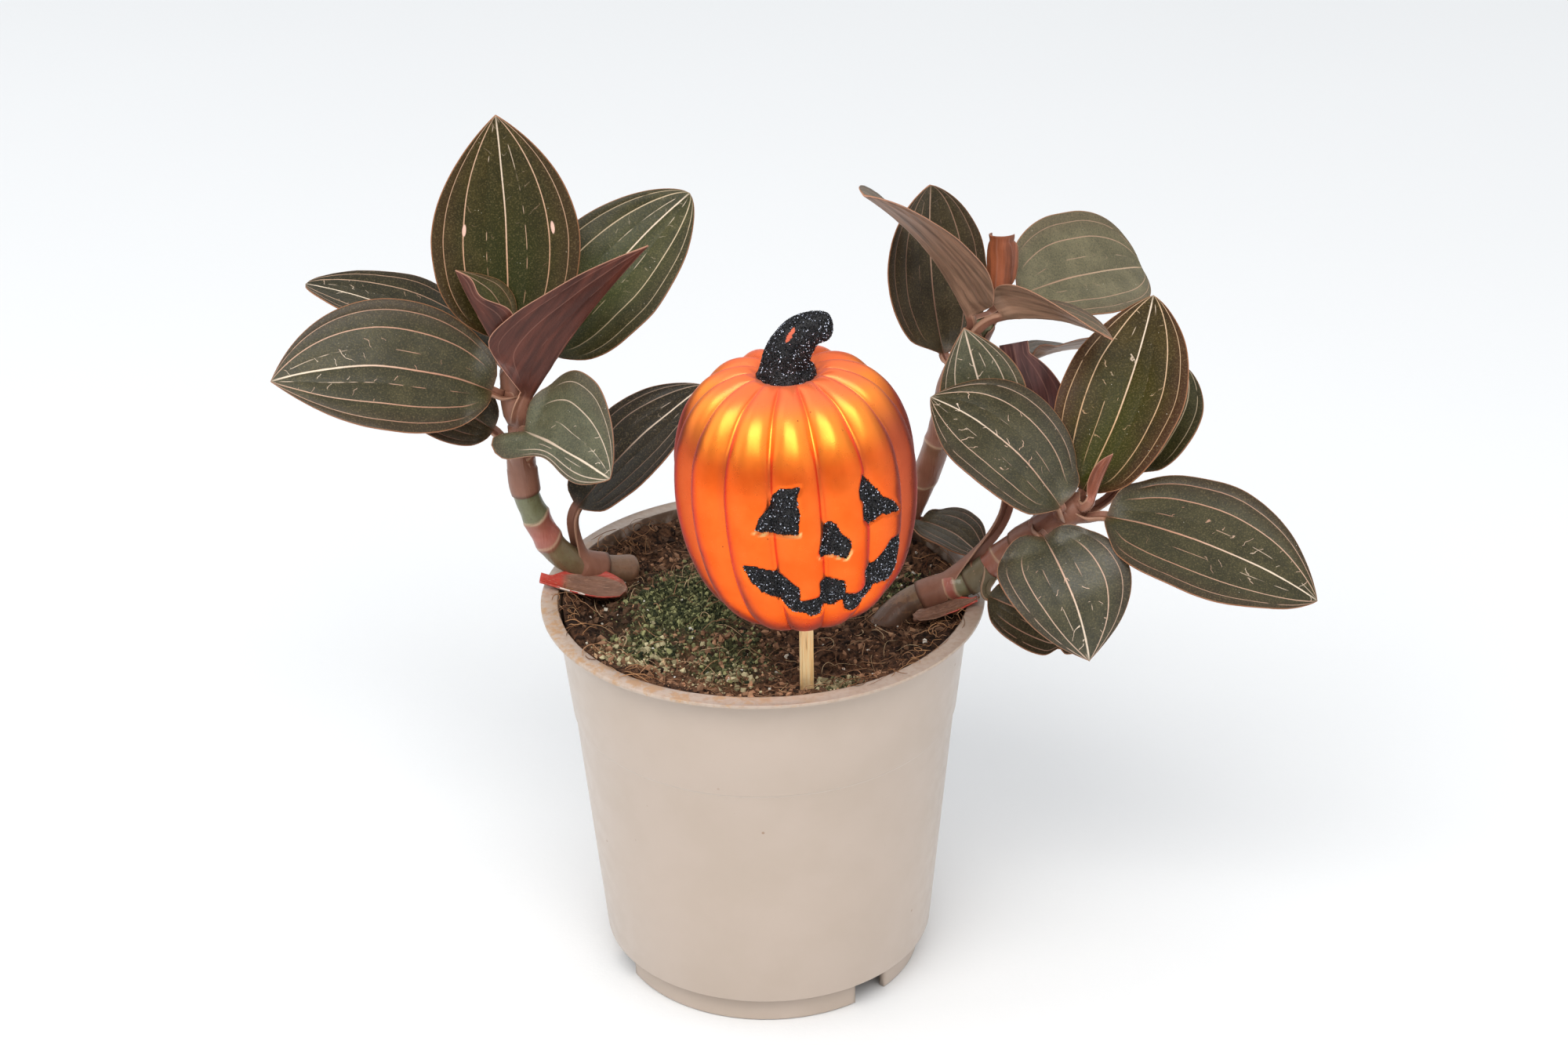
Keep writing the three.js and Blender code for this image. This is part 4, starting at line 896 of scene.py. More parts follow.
def stem_look():
    look = Look("stem", Roughness=0.38, Specular_IOR_Level=0.5, Coat_Weight=0.18, Coat_Roughness=0.25)
    band = look.attribute("band")
    x, _, z = look.parts(look.place)
    bare = look.blend(look.noise(2.2, 3.0, 0.6), (90, 88, 58), (118, 120, 86))
    bare = look.blend(look.span(look.noise(0.7, 2.0), 0.55, 0.75, 0.0, 0.5), bare, (88, 70, 52))
    sheath = look.blend(look.noise(1.8, 4.0, 0.65, stretch=(1, 1, 0.35)), (112, 67, 50), (150, 100, 78))
    foot = look.blend(look.noise(1.5, 2.0), (150, 78, 66), (172, 104, 88))
    colour = look.blend(look.span(band, 0.0, 1.0, curve="LINEAR"), bare, sheath)
    colour = look.blend(look.span(band, 1.0, 2.0, curve="LINEAR"), colour, foot)
    colour = look.blend(look.attribute("edge"), colour, (188, 158, 128))
    # soil and brown scale cling to the parts that lie on the ground
    dirt = look.noise(1.6, 4.0, 0.65) + look.span(z, 105.0, 119.0, 0.2, -0.3)
    dirt = look.span(dirt, 0.48, 0.62, 0.0, 0.85) * look.span(x, -30.0, 20.0, 0.35, 1.0)
    look.set(Base_Color=look.blend(dirt, colour, (92, 70, 57)))
    look.bump(look.noise(0.5, 2.0, 0.5, stretch=(1, 1, 0.12)), 0.12)
    return look.material


def sheath_look(name, red_from):
    """A dry skin, brown-grey inside, red outside, along its rim and beyond a share of its length."""
    look = Look(name, Roughness=0.45, Specular_IOR_Level=0.4)
    s, t, under = look.parts(look.attribute("leaf", "Vector"))
    patches = look.noise(3.2, 3.0, 0.6)
    dry = look.blend(patches, (88, 62, 50), (152, 112, 90))
    red = look.blend(patches, (156, 38, 30), (198, 76, 60))
    end = look.span(t, red_from, red_from + 0.14)
    rim = look.span(abs(s), 0.7, 0.84) * look.span(t, red_from - 0.7, red_from - 0.4)
    outside = under * look.span(t, red_from - 0.6, red_from - 0.2)
    colour = look.blend(end | rim | outside, dry, red)
    fibres = look.noise(0.35, 2.0, stretch=(0.12, 1, 1))
    colour = look.blend(look.span(fibres, 0.5, 0.8, 0.0, 0.4), colour, (200, 158, 132))
    # the red skin is torn white in one place on the rim
    tear = look.span(abs(t - red_from), 0.1, 0.2, 1.0, 0.0) * look.span(s, -0.3, -0.6)
    tear = look.span(look.noise(2.2, 3.0, 0.6), 0.44, 0.5) * tear
    look.set(Base_Color=look.blend(look.span(tear, 0.3, 0.5), colour, (226, 208, 196)))
    look.bump(fibres, 0.15)
    return look.material


# ---------------------------------------------------------------- pot
POT = {"height": 110.5, "lip": 60, "lip_thick": 1.1, "mouth": 55.3, "wall_top": 56, "step_z": 78.7,
       "step": 52.6, "step_in": 0.45, "shoulder_z": 8.35, "shoulder": 45.65, "foot": 42.3,
       "foot_thick": 1.8, "wall": 1.2, "floor_z": 6.75, "pad": 12}
NOTCHES, NOTCH_WIDTH = (41, -70.5, 165), 15  # degrees from the front
POT_SIDES, ARC_STEPS = 288, 60
POT_ROUNDING = 0.35
# moulded sheet is never quite true: height in mm, number and start of the slow waves of the lip
LIP_WAVES = ((0.22, 2, 0.6), (0.12, 5, 2))


def wall_radius(z):
    low, step, top = POT["shoulder_z"], POT["step_z"], POT["height"] - POT["lip_thick"]
    if z >= step:
        return mix(POT["step"], POT["wall_top"], (z - step) / (top - step))
    return mix(POT["shoulder"], POT["step"] - POT["step_in"], (z - low) / (step - low))


def rounded(profile, cut, steps=3):
    """An open profile with its inner corners rounded."""
    profile = np.asarray(profile, float)
    line = [profile[0]]
    for before, corner, after in zip(profile, profile[1:], profile[2:]):
        legs = [np.linalg.norm(other - corner) for other in (before, after)]
        reach = min(cut, 0.4 * legs[0], 0.4 * legs[1])
        start, end = (corner + (other - corner) / leg * reach for other, leg in zip((before, after), legs))
        for u in np.linspace(0, 1, steps + 1):
            line.append((1 - u) ** 2 * start + 2 * u * (1 - u) * corner + u * u * end)
    return np.array(line + [profile[-1]])


def lathe(profile, angles):
    """Rows of points at each radius and height, round the given angles from the front."""
    radius, z = (column[:, None] for column in np.asarray(profile, float).T)
    return flat_points(radius * np.sin(angles), radius * -np.cos(angles), z)


def pot_body():
    """The pot without its foot ring: a profile turned right round, closed at both ends."""
    pad, floor, foot, lip, wall = (POT[key] for key in ("pad", "floor_z", "foot", "lip", "wall"))
    low, shoulder, step_z, wall_top = (POT[key] for key in ("shoulder_z", "shoulder", "step_z", "wall_top"))
    top, thin, inside_floor = POT["height"], POT["height"] - POT["lip_thick"], low + 0.4
    under_step = wall_radius(step_z - 0.5)
    profile = rounded([
        (0.01, 0), (pad, 0), (pad + 1, floor), (foot - 2, floor), (foot - 0.05, floor - 0.4), (foot, low),
        (shoulder, low), (wall_radius(40), 40), (under_step, step_z - 0.5), (POT["step"], step_z),
        (wall_radius(95), 95), (wall_top, thin), (lip, thin), (lip, top), (POT["mouth"], top),
        (wall_top - wall, top - 2), (under_step - wall, step_z - 1), (shoulder - wall, inside_floor),
        (0.01, inside_floor),
    ], POT_ROUNDING)
    points = lathe(profile, circle(POT_SIDES)).reshape(-1, 3)
    turn = np.arctan2(points[:, 0], -points[:, 1])
    sway = sum(high * np.sin(count * turn + start) for high, count, start in LIP_WAVES)
    points[:, 2] += sway * 0.8 * smooth((points[:, 2] - 100) / 10) * (points[:, 2] < top - 0.01)
    return capped(points, POT_SIDES, [(0, 0, 0), (0, 0, inside_floor)])


def foot_arcs():
    """The foot ring between its notches."""
    outer, top = POT["foot"], POT["floor_z"] - 0.2
    inner, middle, half = outer - POT["foot_thick"], outer - 0.9, NOTCH_WIDTH / 2
    section = [(middle, top), (outer, top), (outer, 0), (inner, 0), (inner, top), (middle, top)]
    profile = rounded(section, POT_ROUNDING)[:-1]
    turns = sorted(NOTCHES)
    for start, end in zip(turns, turns[1:] + [turns[0] + 360]):
        angles = np.radians(np.linspace(start + half, end - half, ARC_STEPS))
        rows = lathe(profile, angles).transpose(1, 0, 2)
        yield capped(rows.reshape(-1, 3), len(profile), (rows[0].mean(axis=0), rows[-1].mean(axis=0)))


def pot_look():
    look = Look("pot_plastic", Specular_IOR_Level=0.5, Coat_Weight=0.3, Coat_Roughness=0.2)
    x, y, z = look.parts(look.place)
    colour = look.blend(look.span(look.noise(22.0, 3.0, 0.55), 0.3, 0.7), (181, 164, 149), (185, 168, 154))
    specks = look.span(look.cells(8.5), 0.035, 0.06, 1.0, 0.0) * look.span(look.noise(9.0, 1.0), 0.48, 0.54)
    colour = look.blend(specks * 0.6, colour, (138, 98, 66))
    # painted light: a pale band along the step that lightens the shade under it
    painted_step_light = look.span(abs(z - (POT["step_z"] - 0.35)), 0.15, 0.5, 0.45, 0.0)
    colour = look.blend(painted_step_light, colour, (214, 200, 186))
    # dust and an orange-brown water mark on the rim, strongest at the front left
    rim = look.span(z, 108.4, 110.2)
    left = look.span(x + y * 0.6, -10.0, -55.0)
    mark = rim * look.span(look.noise(3.4, 4.0, 0.65), 0.46, 0.62) * look.span(left, 0.0, 1.0, 0.12, 1.0)
    colour = look.blend(mark * 0.7, colour, (180, 132, 72))
    colour = look.blend(rim * look.span(look.noise(1.6, 3.0), 0.4, 0.7, 0.15, 0.5), colour, (158, 130, 108))
    soiled = look.attribute("inside") * look.span(look.noise(4.0, 4.0), 0.35, 0.6, 0.2, 0.9)
    look.set(Base_Color=look.blend(soiled, colour, (96, 72, 50)),
             Roughness=look.span(look.noise(5.0, 3.0), 0.3, 0.7, 0.34, 0.44))
    look.bump(look.noise(0.9, 3.0, 0.6), 0.02)
    return look.material


def build_pot():
    points, faces = merged([pot_body(), *foot_arcs()])
    away = np.hypot(points[:, 0], points[:, 1])
    inside = np.array([a < wall_radius(z) - 0.6 for a, z in zip(away, points[:, 2])]) & (points[:, 2] > 9)
    add_piece("pot", points, faces, pot_look(), {"inside": inside}, replaces=("pot",))


# ---------------------------------------------------------------- soil
SOIL_LEVEL, MOUND = 105.0, (-20, 2, 2.6, 17)  # the mound's place, rise and spread
SOIL_RADIUS = 54.1
SOIL_RINGS, SOIL_SIDES = 108, 280
# patches of moss, with place, reach and strength, those of dry moss, with place, reach and number of
# lumps, and those of painted shadow on the soil, with place and reach
MOSS_SPOTS = (
    (-19, 0, 21, 1.0), (-31, -20, 12, 0.8), (-8, -27, 12, 0.75), (19, -44, 6, 0.8), (38, 8, 11, 0.7),
    (-10, 24, 12, 0.5),
)
PALE_SPOTS = ((-29, -24, 11, 190), (-39, -30, 7, 90), (-12, -38, 12, 150), (19, -43, 6, 150))
SHADOW_SPOTS = ((-46, -10, 11), (44, -24, 10))
CLUSTER = 6  # dry lumps in a cluster
GRAINS = {
    # look, its dark and light shade, squash, least size, the most it grows by, and how rare the large are
    "soil_crumbs": ("coir_crumbs", (34, 21, 14), (182, 138, 106), (1, 0.6, 0.45), 0.28, 1.5, 5),
    "moss": ("moss", (36, 43, 27), (172, 172, 120), (1, 0.9, 0.8), 0.25, 0.65, 3),
    "moss_dry": ("dry_moss", (104, 96, 66), (208, 198, 158), (1, 0.85, 0.75), 0.3, 0.9, 3),
    "perlite": ("perlite", (196, 188, 170), (240, 236, 226), (1, 0.85, 0.8), 0.4, 0.7, 2),
}
FIBRES = {
    # number, reach, lengths, lift, half thicknesses, and the dark and light shade
    "fibres": (330, 54, (3, 13), 1.8, (0.06, 0.14), (70, 46, 32), (176, 134, 100)),
    "fibres_pale": (90, 50, (4, 12), 2.4, (0.05, 0.1), (150, 118, 84), (226, 198, 158)),
    "fibres_rim": (1000, 57.2, (4, 12), 1.2, (0.06, 0.14), (96, 58, 36), (186, 140, 98)),
}
FIBRE_STEPS = 9
RIM_REACH = 58.6  # no fibre lies further out than this
# fibres on the rim start beyond `out`, and most of those within `middle` of the front are left out
ON_RIM = {"out": 50, "middle": 28, "left_out": 0.8}


def soil_height(x, y):
    """The CAD model's soil surface."""
    mound_x, mound_y, rise, spread = MOUND
    away = (x - mound_x) ** 2 + (y - mound_y) ** 2
    lumps = 0.5 * np.sin(x / 5.1 + 1) * np.cos(y / 6.3) + 0.35 * np.sin((x + y) / 3.7)
    return SOIL_LEVEL + rise * np.exp(-away / (2 * spread ** 2)) + lumps


def moss_share(x, y):
    share = np.zeros_like(np.asarray(x, float))
    for spot_x, spot_y, size, strength in MOSS_SPOTS:
        away = np.hypot(x - spot_x, y - spot_y) / size
        share = np.maximum(share, strength * (1 - smooth(away - 0.35)))
    return np.clip(share + 0.35 * rough_noise(flat_points(x, y), 6, 2, 41) * (share > 0.02), 0, 1)


def pale_share(x, y):
    spots = (np.exp(-(np.hypot(x - a, y - b) / reach) ** 2) for a, b, reach, _ in PALE_SPOTS)
    return reduce(np.maximum, spots)


def shadow_share(x, y):
    return sum(np.exp(-(np.hypot(x - a, y - b) / reach) ** 4) for a, b, reach in SHADOW_SPOTS)


def rough_soil(x, y):
    here = flat_points(x, y)
    crumbs = 1.5 * rough_noise(here, 7, 2, 31) + 1.1 * np.abs(lattice_noise(here, 2.6, 35))
    crumbs = crumbs + 0.5 * lattice_noise(here, 1.2, 36)
    # the soil is pushed up against the pot, most at the front
    rim = (3.2 + 0.8 * smooth((-0.5 * x - y) / 25)) * smooth((np.hypot(x, y) - 43) / 10)
    rim = rim + 1.3 * moss_share(x, y) * (0.6 + rough_noise(here, 5, 2, 33))
    return soil_height(x, y) + crumbs - 0.5 + rim


def soil_look():
    look = Look("soil_coir", Roughness=0.95, Specular_IOR_Level=0.2)
    earth = look.blend(look.span(look.noise(1.6, 5.0, 0.7), 0.35, 0.7), (30, 19, 14), (122, 86, 62))
    earth = look.blend(look.span(look.noise(4.0, 2.0), 0.5, 0.75, 0.0, 0.45), earth, (120, 84, 60))
    green = look.blend(look.span(look.noise(0.9, 4.0, 0.7), 0.35, 0.7), (26, 31, 20), (98, 104, 66))
    colour = look.blend(look.attribute("moss"), earth, green)
    # painted shadow: darker soil where the leaves and the old sheath shade it
    look.set(Base_Color=look.blend(look.attribute("shadow_and_damp") * 0.65, colour, (24, 15, 11)))
    look.bump(look.noise(0.7, 5.0, 0.75), 0.6)
    return look.material


def grain_look(name, dark, light):
    look = Look(name, Roughness=0.9, Specular_IOR_Level=0.25)
    shade = look.attribute("shade")
    colour = look.blend(shade, dark, light)
    look.set(Base_Color=look.blend(look.span(shade, 1.0, 1.6), colour, (214, 186, 146)))
    look.bump(look.noise(0.25, 3.0, 0.7), 0.1)
    return look.material


def build_soil():
    angles = circle(SOIL_SIDES)
    across, along = np.cos(angles), np.sin(angles)
    radii = np.linspace(SOIL_RADIUS, 0.3, SOIL_RINGS)[:, None]
    x, y = radii * across, radii * along
    lower = [(wall_radius(z) - POT["wall"] - GAP, z) for z in (POT["shoulder_z"] + 0.8, 76.0, 98.0)]
    rows = [flat_points(r * across, r * along, z) for r, z in lower]
    points = np.vstack((*rows, flat_points(x, y, rough_soil(x, y)).reshape(-1, 3)))
    ends = [(0, 0, lower[0][1]), (0, 0, float(rough_soil(0.0, 0.0)))]
    points, faces = capped(points, SOIL_SIDES, ends)
    here = points[:, 0], points[:, 1]
    values = {"moss": moss_share(*here), "shadow_and_damp": shadow_share(*here)}
    add_piece("soil", points, faces, soil_look(), values, replaces=("soil",))
    scatter_crumbs()
    scatter_moss()
    scatter_tufts()
    scatter_lumps()
    scatter_perlite()
    scatter_fibres()


def soil_places(count, reach):
    """Random places on the soil."""
    radius, turn = reach * np.sqrt(random.random(count)), random.random(count) * 2 * np.pi
    x, y = radius * np.cos(turn), radius * np.sin(turn)
    return flat_points(x, y, rough_soil(x, y))


def mossy_places(count, share, power):
    """Random places in the moss, few where it is thin."""
    places = soil_places(count, 51)
    return places[random.random(count) < share * moss_share(places[:, 0], places[:, 1]) ** power]


def grain_sizes(name, count):
    least, more, power = GRAINS[name][-3:]
    return least + more * random.random(count) ** power


def add_grains(name, places, sizes, shades, jitter=0.25):
    look, dark, light, squash = GRAINS[name][:4]
    shape = ball()
    points, faces = scatter(shape, places, sizes, squash, jitter)
    values = {"shade": np.repeat(shades, len(shape[0]))}
    add_piece(name, points, faces, grain_look(look, dark, light), values, smoothed=False)


def add_threads(name, shapes, tones, material):
    """Thin tubes as one piece, each with a tone of its own."""
    points, faces = merged(shapes)
    shades = np.concatenate([np.full(len(shape[0]), tone) for shape, tone in zip(shapes, tones)])
    add_piece(name, points, faces, material, {"shade": shades})


def scatter_crumbs():
    places = soil_places(6800, 53)
    places = places[moss_share(places[:, 0], places[:, 1]) < 0.75]
    x, y, count = places[:, 0], places[:, 1], len(places)
    sizes = grain_sizes("soil_crumbs", count)
    shades = np.clip(random.random(count) ** 2.2 + 0.9 * pale_share(x, y) * random.random(count), 0, 1.6)
    # painted shadow darkens the crumbs in the same places
    shades *= 1 - 0.7 * shadow_share(x, y)
    add_grains("soil_crumbs", places, sizes, shades, jitter=0.35)


def scatter_moss():
    places = mossy_places(15000, 0.95, 1.3)
    places[:, 2] += 0.3 * random.random(len(places))
    sizes = grain_sizes("moss", len(places))
    add_grains("moss", places, sizes, random.random(len(places)) ** 2)


def scatter_tufts():
    """Short threads that stand up from the moss."""
    shapes, tones = [], []
    for start in mossy_places(2600, 0.9, 1.5):
        lean, heading = random.uniform(0.2, 1.1), random.uniform(0, 2 * np.pi)
        share = np.linspace(0, 1, 4)[:, None] * random.uniform(1.0, 2.6)
        way = np.array((math.cos(heading) * lean, math.sin(heading) * lean, 1))
        path = start + share * way - np.array((0, 0, 0.12)) * share ** 2
        shapes.append(tube(path, (0.14, 0.14, 0.12, 0.06), 3, (0.3, 0.1, 0.0)))
        tones.append(random.random() ** 1.6)
    add_threads("moss_tufts", shapes, tones, grain_look("moss_threads", (44, 50, 30), (168, 170, 118)))


def scatter_lumps():
    """Pale, dry bits of moss in loose clusters."""
    places = []
    for x, y, reach, count in PALE_SPOTS:
        here = random.normal(0, reach * 0.6, (count, 2)) + (x, y)
        middles = here[::CLUSTER].repeat(CLUSTER, axis=0)[:count]
        here = mix(middles, here, 0.35)
        places.append(here[np.hypot(*here.T) < 52])
    x, y = np.vstack(places).T
    sizes = grain_sizes("moss_dry", len(x))
    places = flat_points(x, y, rough_soil(x, y) + 0.3 * sizes)
    add_grains("moss_dry", places, sizes, random.random(len(x)))


def scatter_perlite():
    places = soil_places(95, 52)
    sizes = grain_sizes("perlite", len(places))
    add_grains("perlite", places, sizes, random.random(len(places)))


def fibre_paths(count, reach, lengths, lift):
    """Thin curved threads that lie on the soil and rise a little from it."""
    for start in soil_places(count, reach):
        length = random.uniform(*lengths)
        heading, bend = random.uniform(0, 2 * np.pi), random.normal(0, 0.13, 3)
        turn = heading + np.cumsum(np.linspace(bend[0], bend[1] * 2, FIBRE_STEPS)) * 1.6
        x = start[0] + np.cumsum(np.cos(turn)) * length / FIBRE_STEPS
        y = start[1] + np.cumsum(np.sin(turn)) * length / FIBRE_STEPS
        away = np.hypot(x, y)
        if away.max() > RIM_REACH:
            continue
        ground = np.where(away < 53, rough_soil(x, y), POT["height"] + 0.15)
        arch = np.sin(np.linspace(0, np.pi, FIBRE_STEPS)) * random.uniform(0, lift)
        yield flat_points(x, y, np.maximum(ground, ground.max() * 0.5 + ground * 0.5) + 0.12 + arch)


def scatter_fibres():
    for name, (count, reach, lengths, lift, thick, dark, light) in FIBRES.items():
        shapes, tones = [], []
        for path in fibre_paths(count, reach, lengths, lift):
            on_rim, central = np.hypot(*path[0, :2]) > ON_RIM["out"], abs(path[0, 0]) < ON_RIM["middle"]
            if name == "fibres_rim" and (not on_rim or (central and random.random() < ON_RIM["left_out"])):
                continue
            taper = random.uniform(*thick) * np.r_[0.45, np.ones(FIBRE_STEPS - 2), 0.4]
            shapes.append(tube(path, taper, 4, (0.3, 0.1, 1.0)))
            tones.append(random.random())
        add_threads(name, shapes, tones, grain_look("coir_" + name, dark, light))


# ---------------------------------------------------------------- pumpkin pick
PUMPKIN = {
    "place": (10.9, -44, 129.4), "lean": -3.2, "ribs": 14, "groove": 13, "depth": 0.085,
    "profile": [
        (0.3, 0.6), (5, 0.1), (12, 1.2), (19, 4.8), (24.4, 11), (28, 19.5), (30.2, 30), (30.8, 40),
        (29.8, 49.5), (26.6, 58), (21.4, 64.4), (15.6, 67.6), (10.6, 68.4), (6.4, 66.4), (0.3, 65.6),
    ],
    "outer": 10,  # corners of the profile up to its widest reach and over the shoulder
}
PUMPKIN_ROWS, SIDES_PER_RIB = 160, 24
STEM_ROUTE = [(-0.3, 66.5), (-0.3, 69.6), (0.9, 73.4), (3.4, 76.9), (7, 78.9), (11.7, 79.1)]
STEM_RADII = [7.0, 5.8, 5.4, 4.9, 4.1, 3.1]
GLITTER_RINGS, GLITTER_SIDES = 44, 48
GLITTER_TIP = (0.98, 0.92, 0.8, 0.5)  # rounding of the pumpkin stem's tip
FACE = {  # outlines in (degrees from the front, height)
    "eye_left": [
        (-20, 38.5), (-18, 41.8), (-13.5, 44.2), (-11.5, 47.5), (-6.5, 49.8), (2.9, 50.1), (0.7, 48),
        (1.4, 43.2), (0, 37.8), (-13.7, 37.6),
    ],
    "eye_right": [
        (36, 49.2), (43, 44.3), (46, 41.6), (50.5, 39.7), (57.5, 35.7), (44, 37.2), (38, 35.2),
        (33, 38), (34, 42.5), (31.9, 44), (32.3, 46.3),
    ],
    "nose": [
        (15.8, 39.6), (18.5, 38.8), (20.5, 36.3), (24.5, 33.8), (24.8, 31.5), (22.6, 29.2),
        (16.6, 30.4), (10.5, 30.2), (9.9, 31.7), (12, 34.5), (13.6, 39),
    ],
    "mouth": [
        (-28.7, 27.8), (-23.5, 28.3), (-17, 27), (-8.3, 25), (-1.5, 21.7), (-2, 17.3), (8.8, 17.6),
        (10.3, 19.1), (9.7, 22.5), (14.8, 23.3), (22, 21.8), (22.6, 17.8), (29.2, 16.4), (36.5, 16.6),
        (38.3, 17.9), (35.4, 22.4), (41, 23.6), (45.3, 26), (49.5, 29.1), (56.3, 28.8), (64.3, 25.3),
        (66, 21.5), (62, 17.8), (54, 16), (44, 16.8), (41, 13.5), (38, 10.6), (30.7, 10.4),
        (24.3, 12.2), (22, 15.2), (19, 15.8), (17.5, 14), (11.4, 14.5), (9.6, 11.8), (4.2, 11.8),
        (-1, 13.4), (-6.7, 13.5), (-14.6, 18.4), (-21, 20.3), (-26.3, 23.8),
    ],
}
BARE_SPOTS = ((27.5, 13.5, 0.9), (5, 12.6, 0.5))  # missing glitter: degrees from the front, height, size
SCRAPE = {"place": (1.4, -4, 79.1), "way": (0.6, 0, 0.8), "length": 2.1, "width": 0.45}
RIM_HIGHLIGHT_UNDER = {"eye_left": 0.6, "nose": 1.6}  # mm of the outline's foot within which its edge has a painted highlight
FACE_UNIT = 0.5236  # mm of face for a degree of turn, at the pumpkin's middle
FACE_CELL = 0.45  # mm between the points of a face piece
RECESS = 0.75
# the glue in mm: its dome and how far from its edge that is full, its lumps and their size, the levels
# of its surface and of its grains below the skin, and how far they spread past the outline
GLUE = {"dome": 0.3, "slope": 1.2, "lumps": 0.22, "lump": 2.2, "surface": -0.35, "grains": -0.24,
        "margin": 0.35, "spill": 0.22, "ragged": 0.3}
TOP_GROOVE = 2.0  # mm by which the grooves sink at the top of the pumpkin
GRAIN = {"low": 0.12, "high": 0.22, "squash": (1, 1, 0.5), "per_mm2": 12.5, "painted_glint": 0.94, "jitter": 0.2}
STICK = {"x": 11, "y": -44, "side": 3.6, "bottom": 45, "top": 148, "corner": 0.35, "rows": 60}


def groove_share(angle):
    """1 in the grooves between the ribs, 0 on top of the ribs."""
    return 1 - np.abs(np.sin(PUMPKIN["ribs"] / 2 * (angle - math.radians(PUMPKIN["groove"])))) ** 0.7


def rib_factor(angle):
    return 1 - PUMPKIN["depth"] * groove_share(angle)


def pumpkin_place(points):
    """From the pumpkin's own frame to the part's."""
    lean = math.radians(PUMPKIN["lean"])
    cos, sin = math.cos(lean), math.sin(lean)
    x, y, z = np.asarray(points, float).T
    return flat_points(x * cos + z * sin, y, z * cos - x * sin) + np.array(PUMPKIN["place"])


def outline_distance(outline, turn, height):
    """Signed distance in mm from a face outline to points of the skin, below zero inside it."""
    corners = np.array(outline) * (FACE_UNIT, 1)
    place = np.stack((turn * FACE_UNIT, height), axis=-1)
    nearest, inside = np.full(place.shape[:-1], 1e9), np.zeros(place.shape[:-1], bool)
    for a, b in zip(corners, np.roll(corners, -1, axis=0)):
        edge = b - a
        share = np.clip(((place - a) @ edge) / (edge @ edge), 0, 1)
        nearest = np.minimum(nearest, np.linalg.norm(place - a - share[..., None] * edge, axis=-1))
        crosses = (a[1] > place[..., 1]) != (b[1] > place[..., 1])
        rise = edge[1] if edge[1] else 1e-9
        inside ^= crosses & (place[..., 0] < a[0] + edge[0] * (place[..., 1] - a[1]) / rise)
    return np.where(inside, -nearest, nearest)


def face_skin(turn, height, out):
    """Points on the skin of the face, `out` mm above it, at degrees from the front and heights."""
    outer, angle = np.array(PUMPKIN["profile"])[:PUMPKIN["outer"]], np.radians(turn)
    radius = np.interp(height, outer[:, 1], outer[:, 0]) * rib_factor(angle) + out
    return pumpkin_place(flat_points(radius * np.sin(angle), -radius * np.cos(angle), height))


def pumpkin_look():
    look = Look("pumpkin_paint", Specular_IOR_Level=0.25, Specular_Tint=(190, 96, 70), Sheen_Weight=0.22,
                Sheen_Roughness=0.45, Sheen_Tint=(255, 196, 190))
    height = look.attribute("height")
    colour = look.blend(look.span(look.noise(9.0, 3.0, 0.5), 0.3, 0.7), (248, 102, 32), (255, 114, 42))
    # darker in the grooves towards the top; the pale top is painted light and the yellow shoulders are a
    # painted highlight
    dusk = look.attribute("groove") * look.span(height, 30.0, 66.0, 0.05, 0.7)
    colour = look.blend(dusk, colour, (176, 82, 58))
    # painted light: the top is paler
    colour = look.blend(look.span(height, 57.0, 67.0, 0.0, 0.7), colour, (255, 128, 82))
    # painted highlight: yellow on the shoulders
    shoulder = look.span(height, 52.0, 59.0, 0.0, 0.7) * look.span(height, 67.5, 63.0)
    colour = look.blend(shoulder, colour, (255, 150, 52))
    # painted shade round the sides
    colour = look.blend(look.attribute("thin"), colour, (170, 80, 58))
    # painted highlight along the lower edge of the eye and nose recesses
    colour = look.blend(look.attribute("painted_rim_highlight"), colour, (255, 214, 140))
    specks = look.span(look.cells(5.0), 0.03, 0.05, 0.7, 0.0) * look.span(look.noise(12.0, 1.0), 0.54, 0.58)
    look.set(Base_Color=look.blend(specks, colour, (70, 30, 20)),
             Roughness=look.span(look.noise(2.5, 3.0, 0.6), 0.3, 0.7, 0.27, 0.33),
             Metallic=look.span(height, 57.0, 66.0, 0.95, 0.45))
    look.bump(look.noise(0.35, 2.0, 0.6), 0.015)
    return look.material


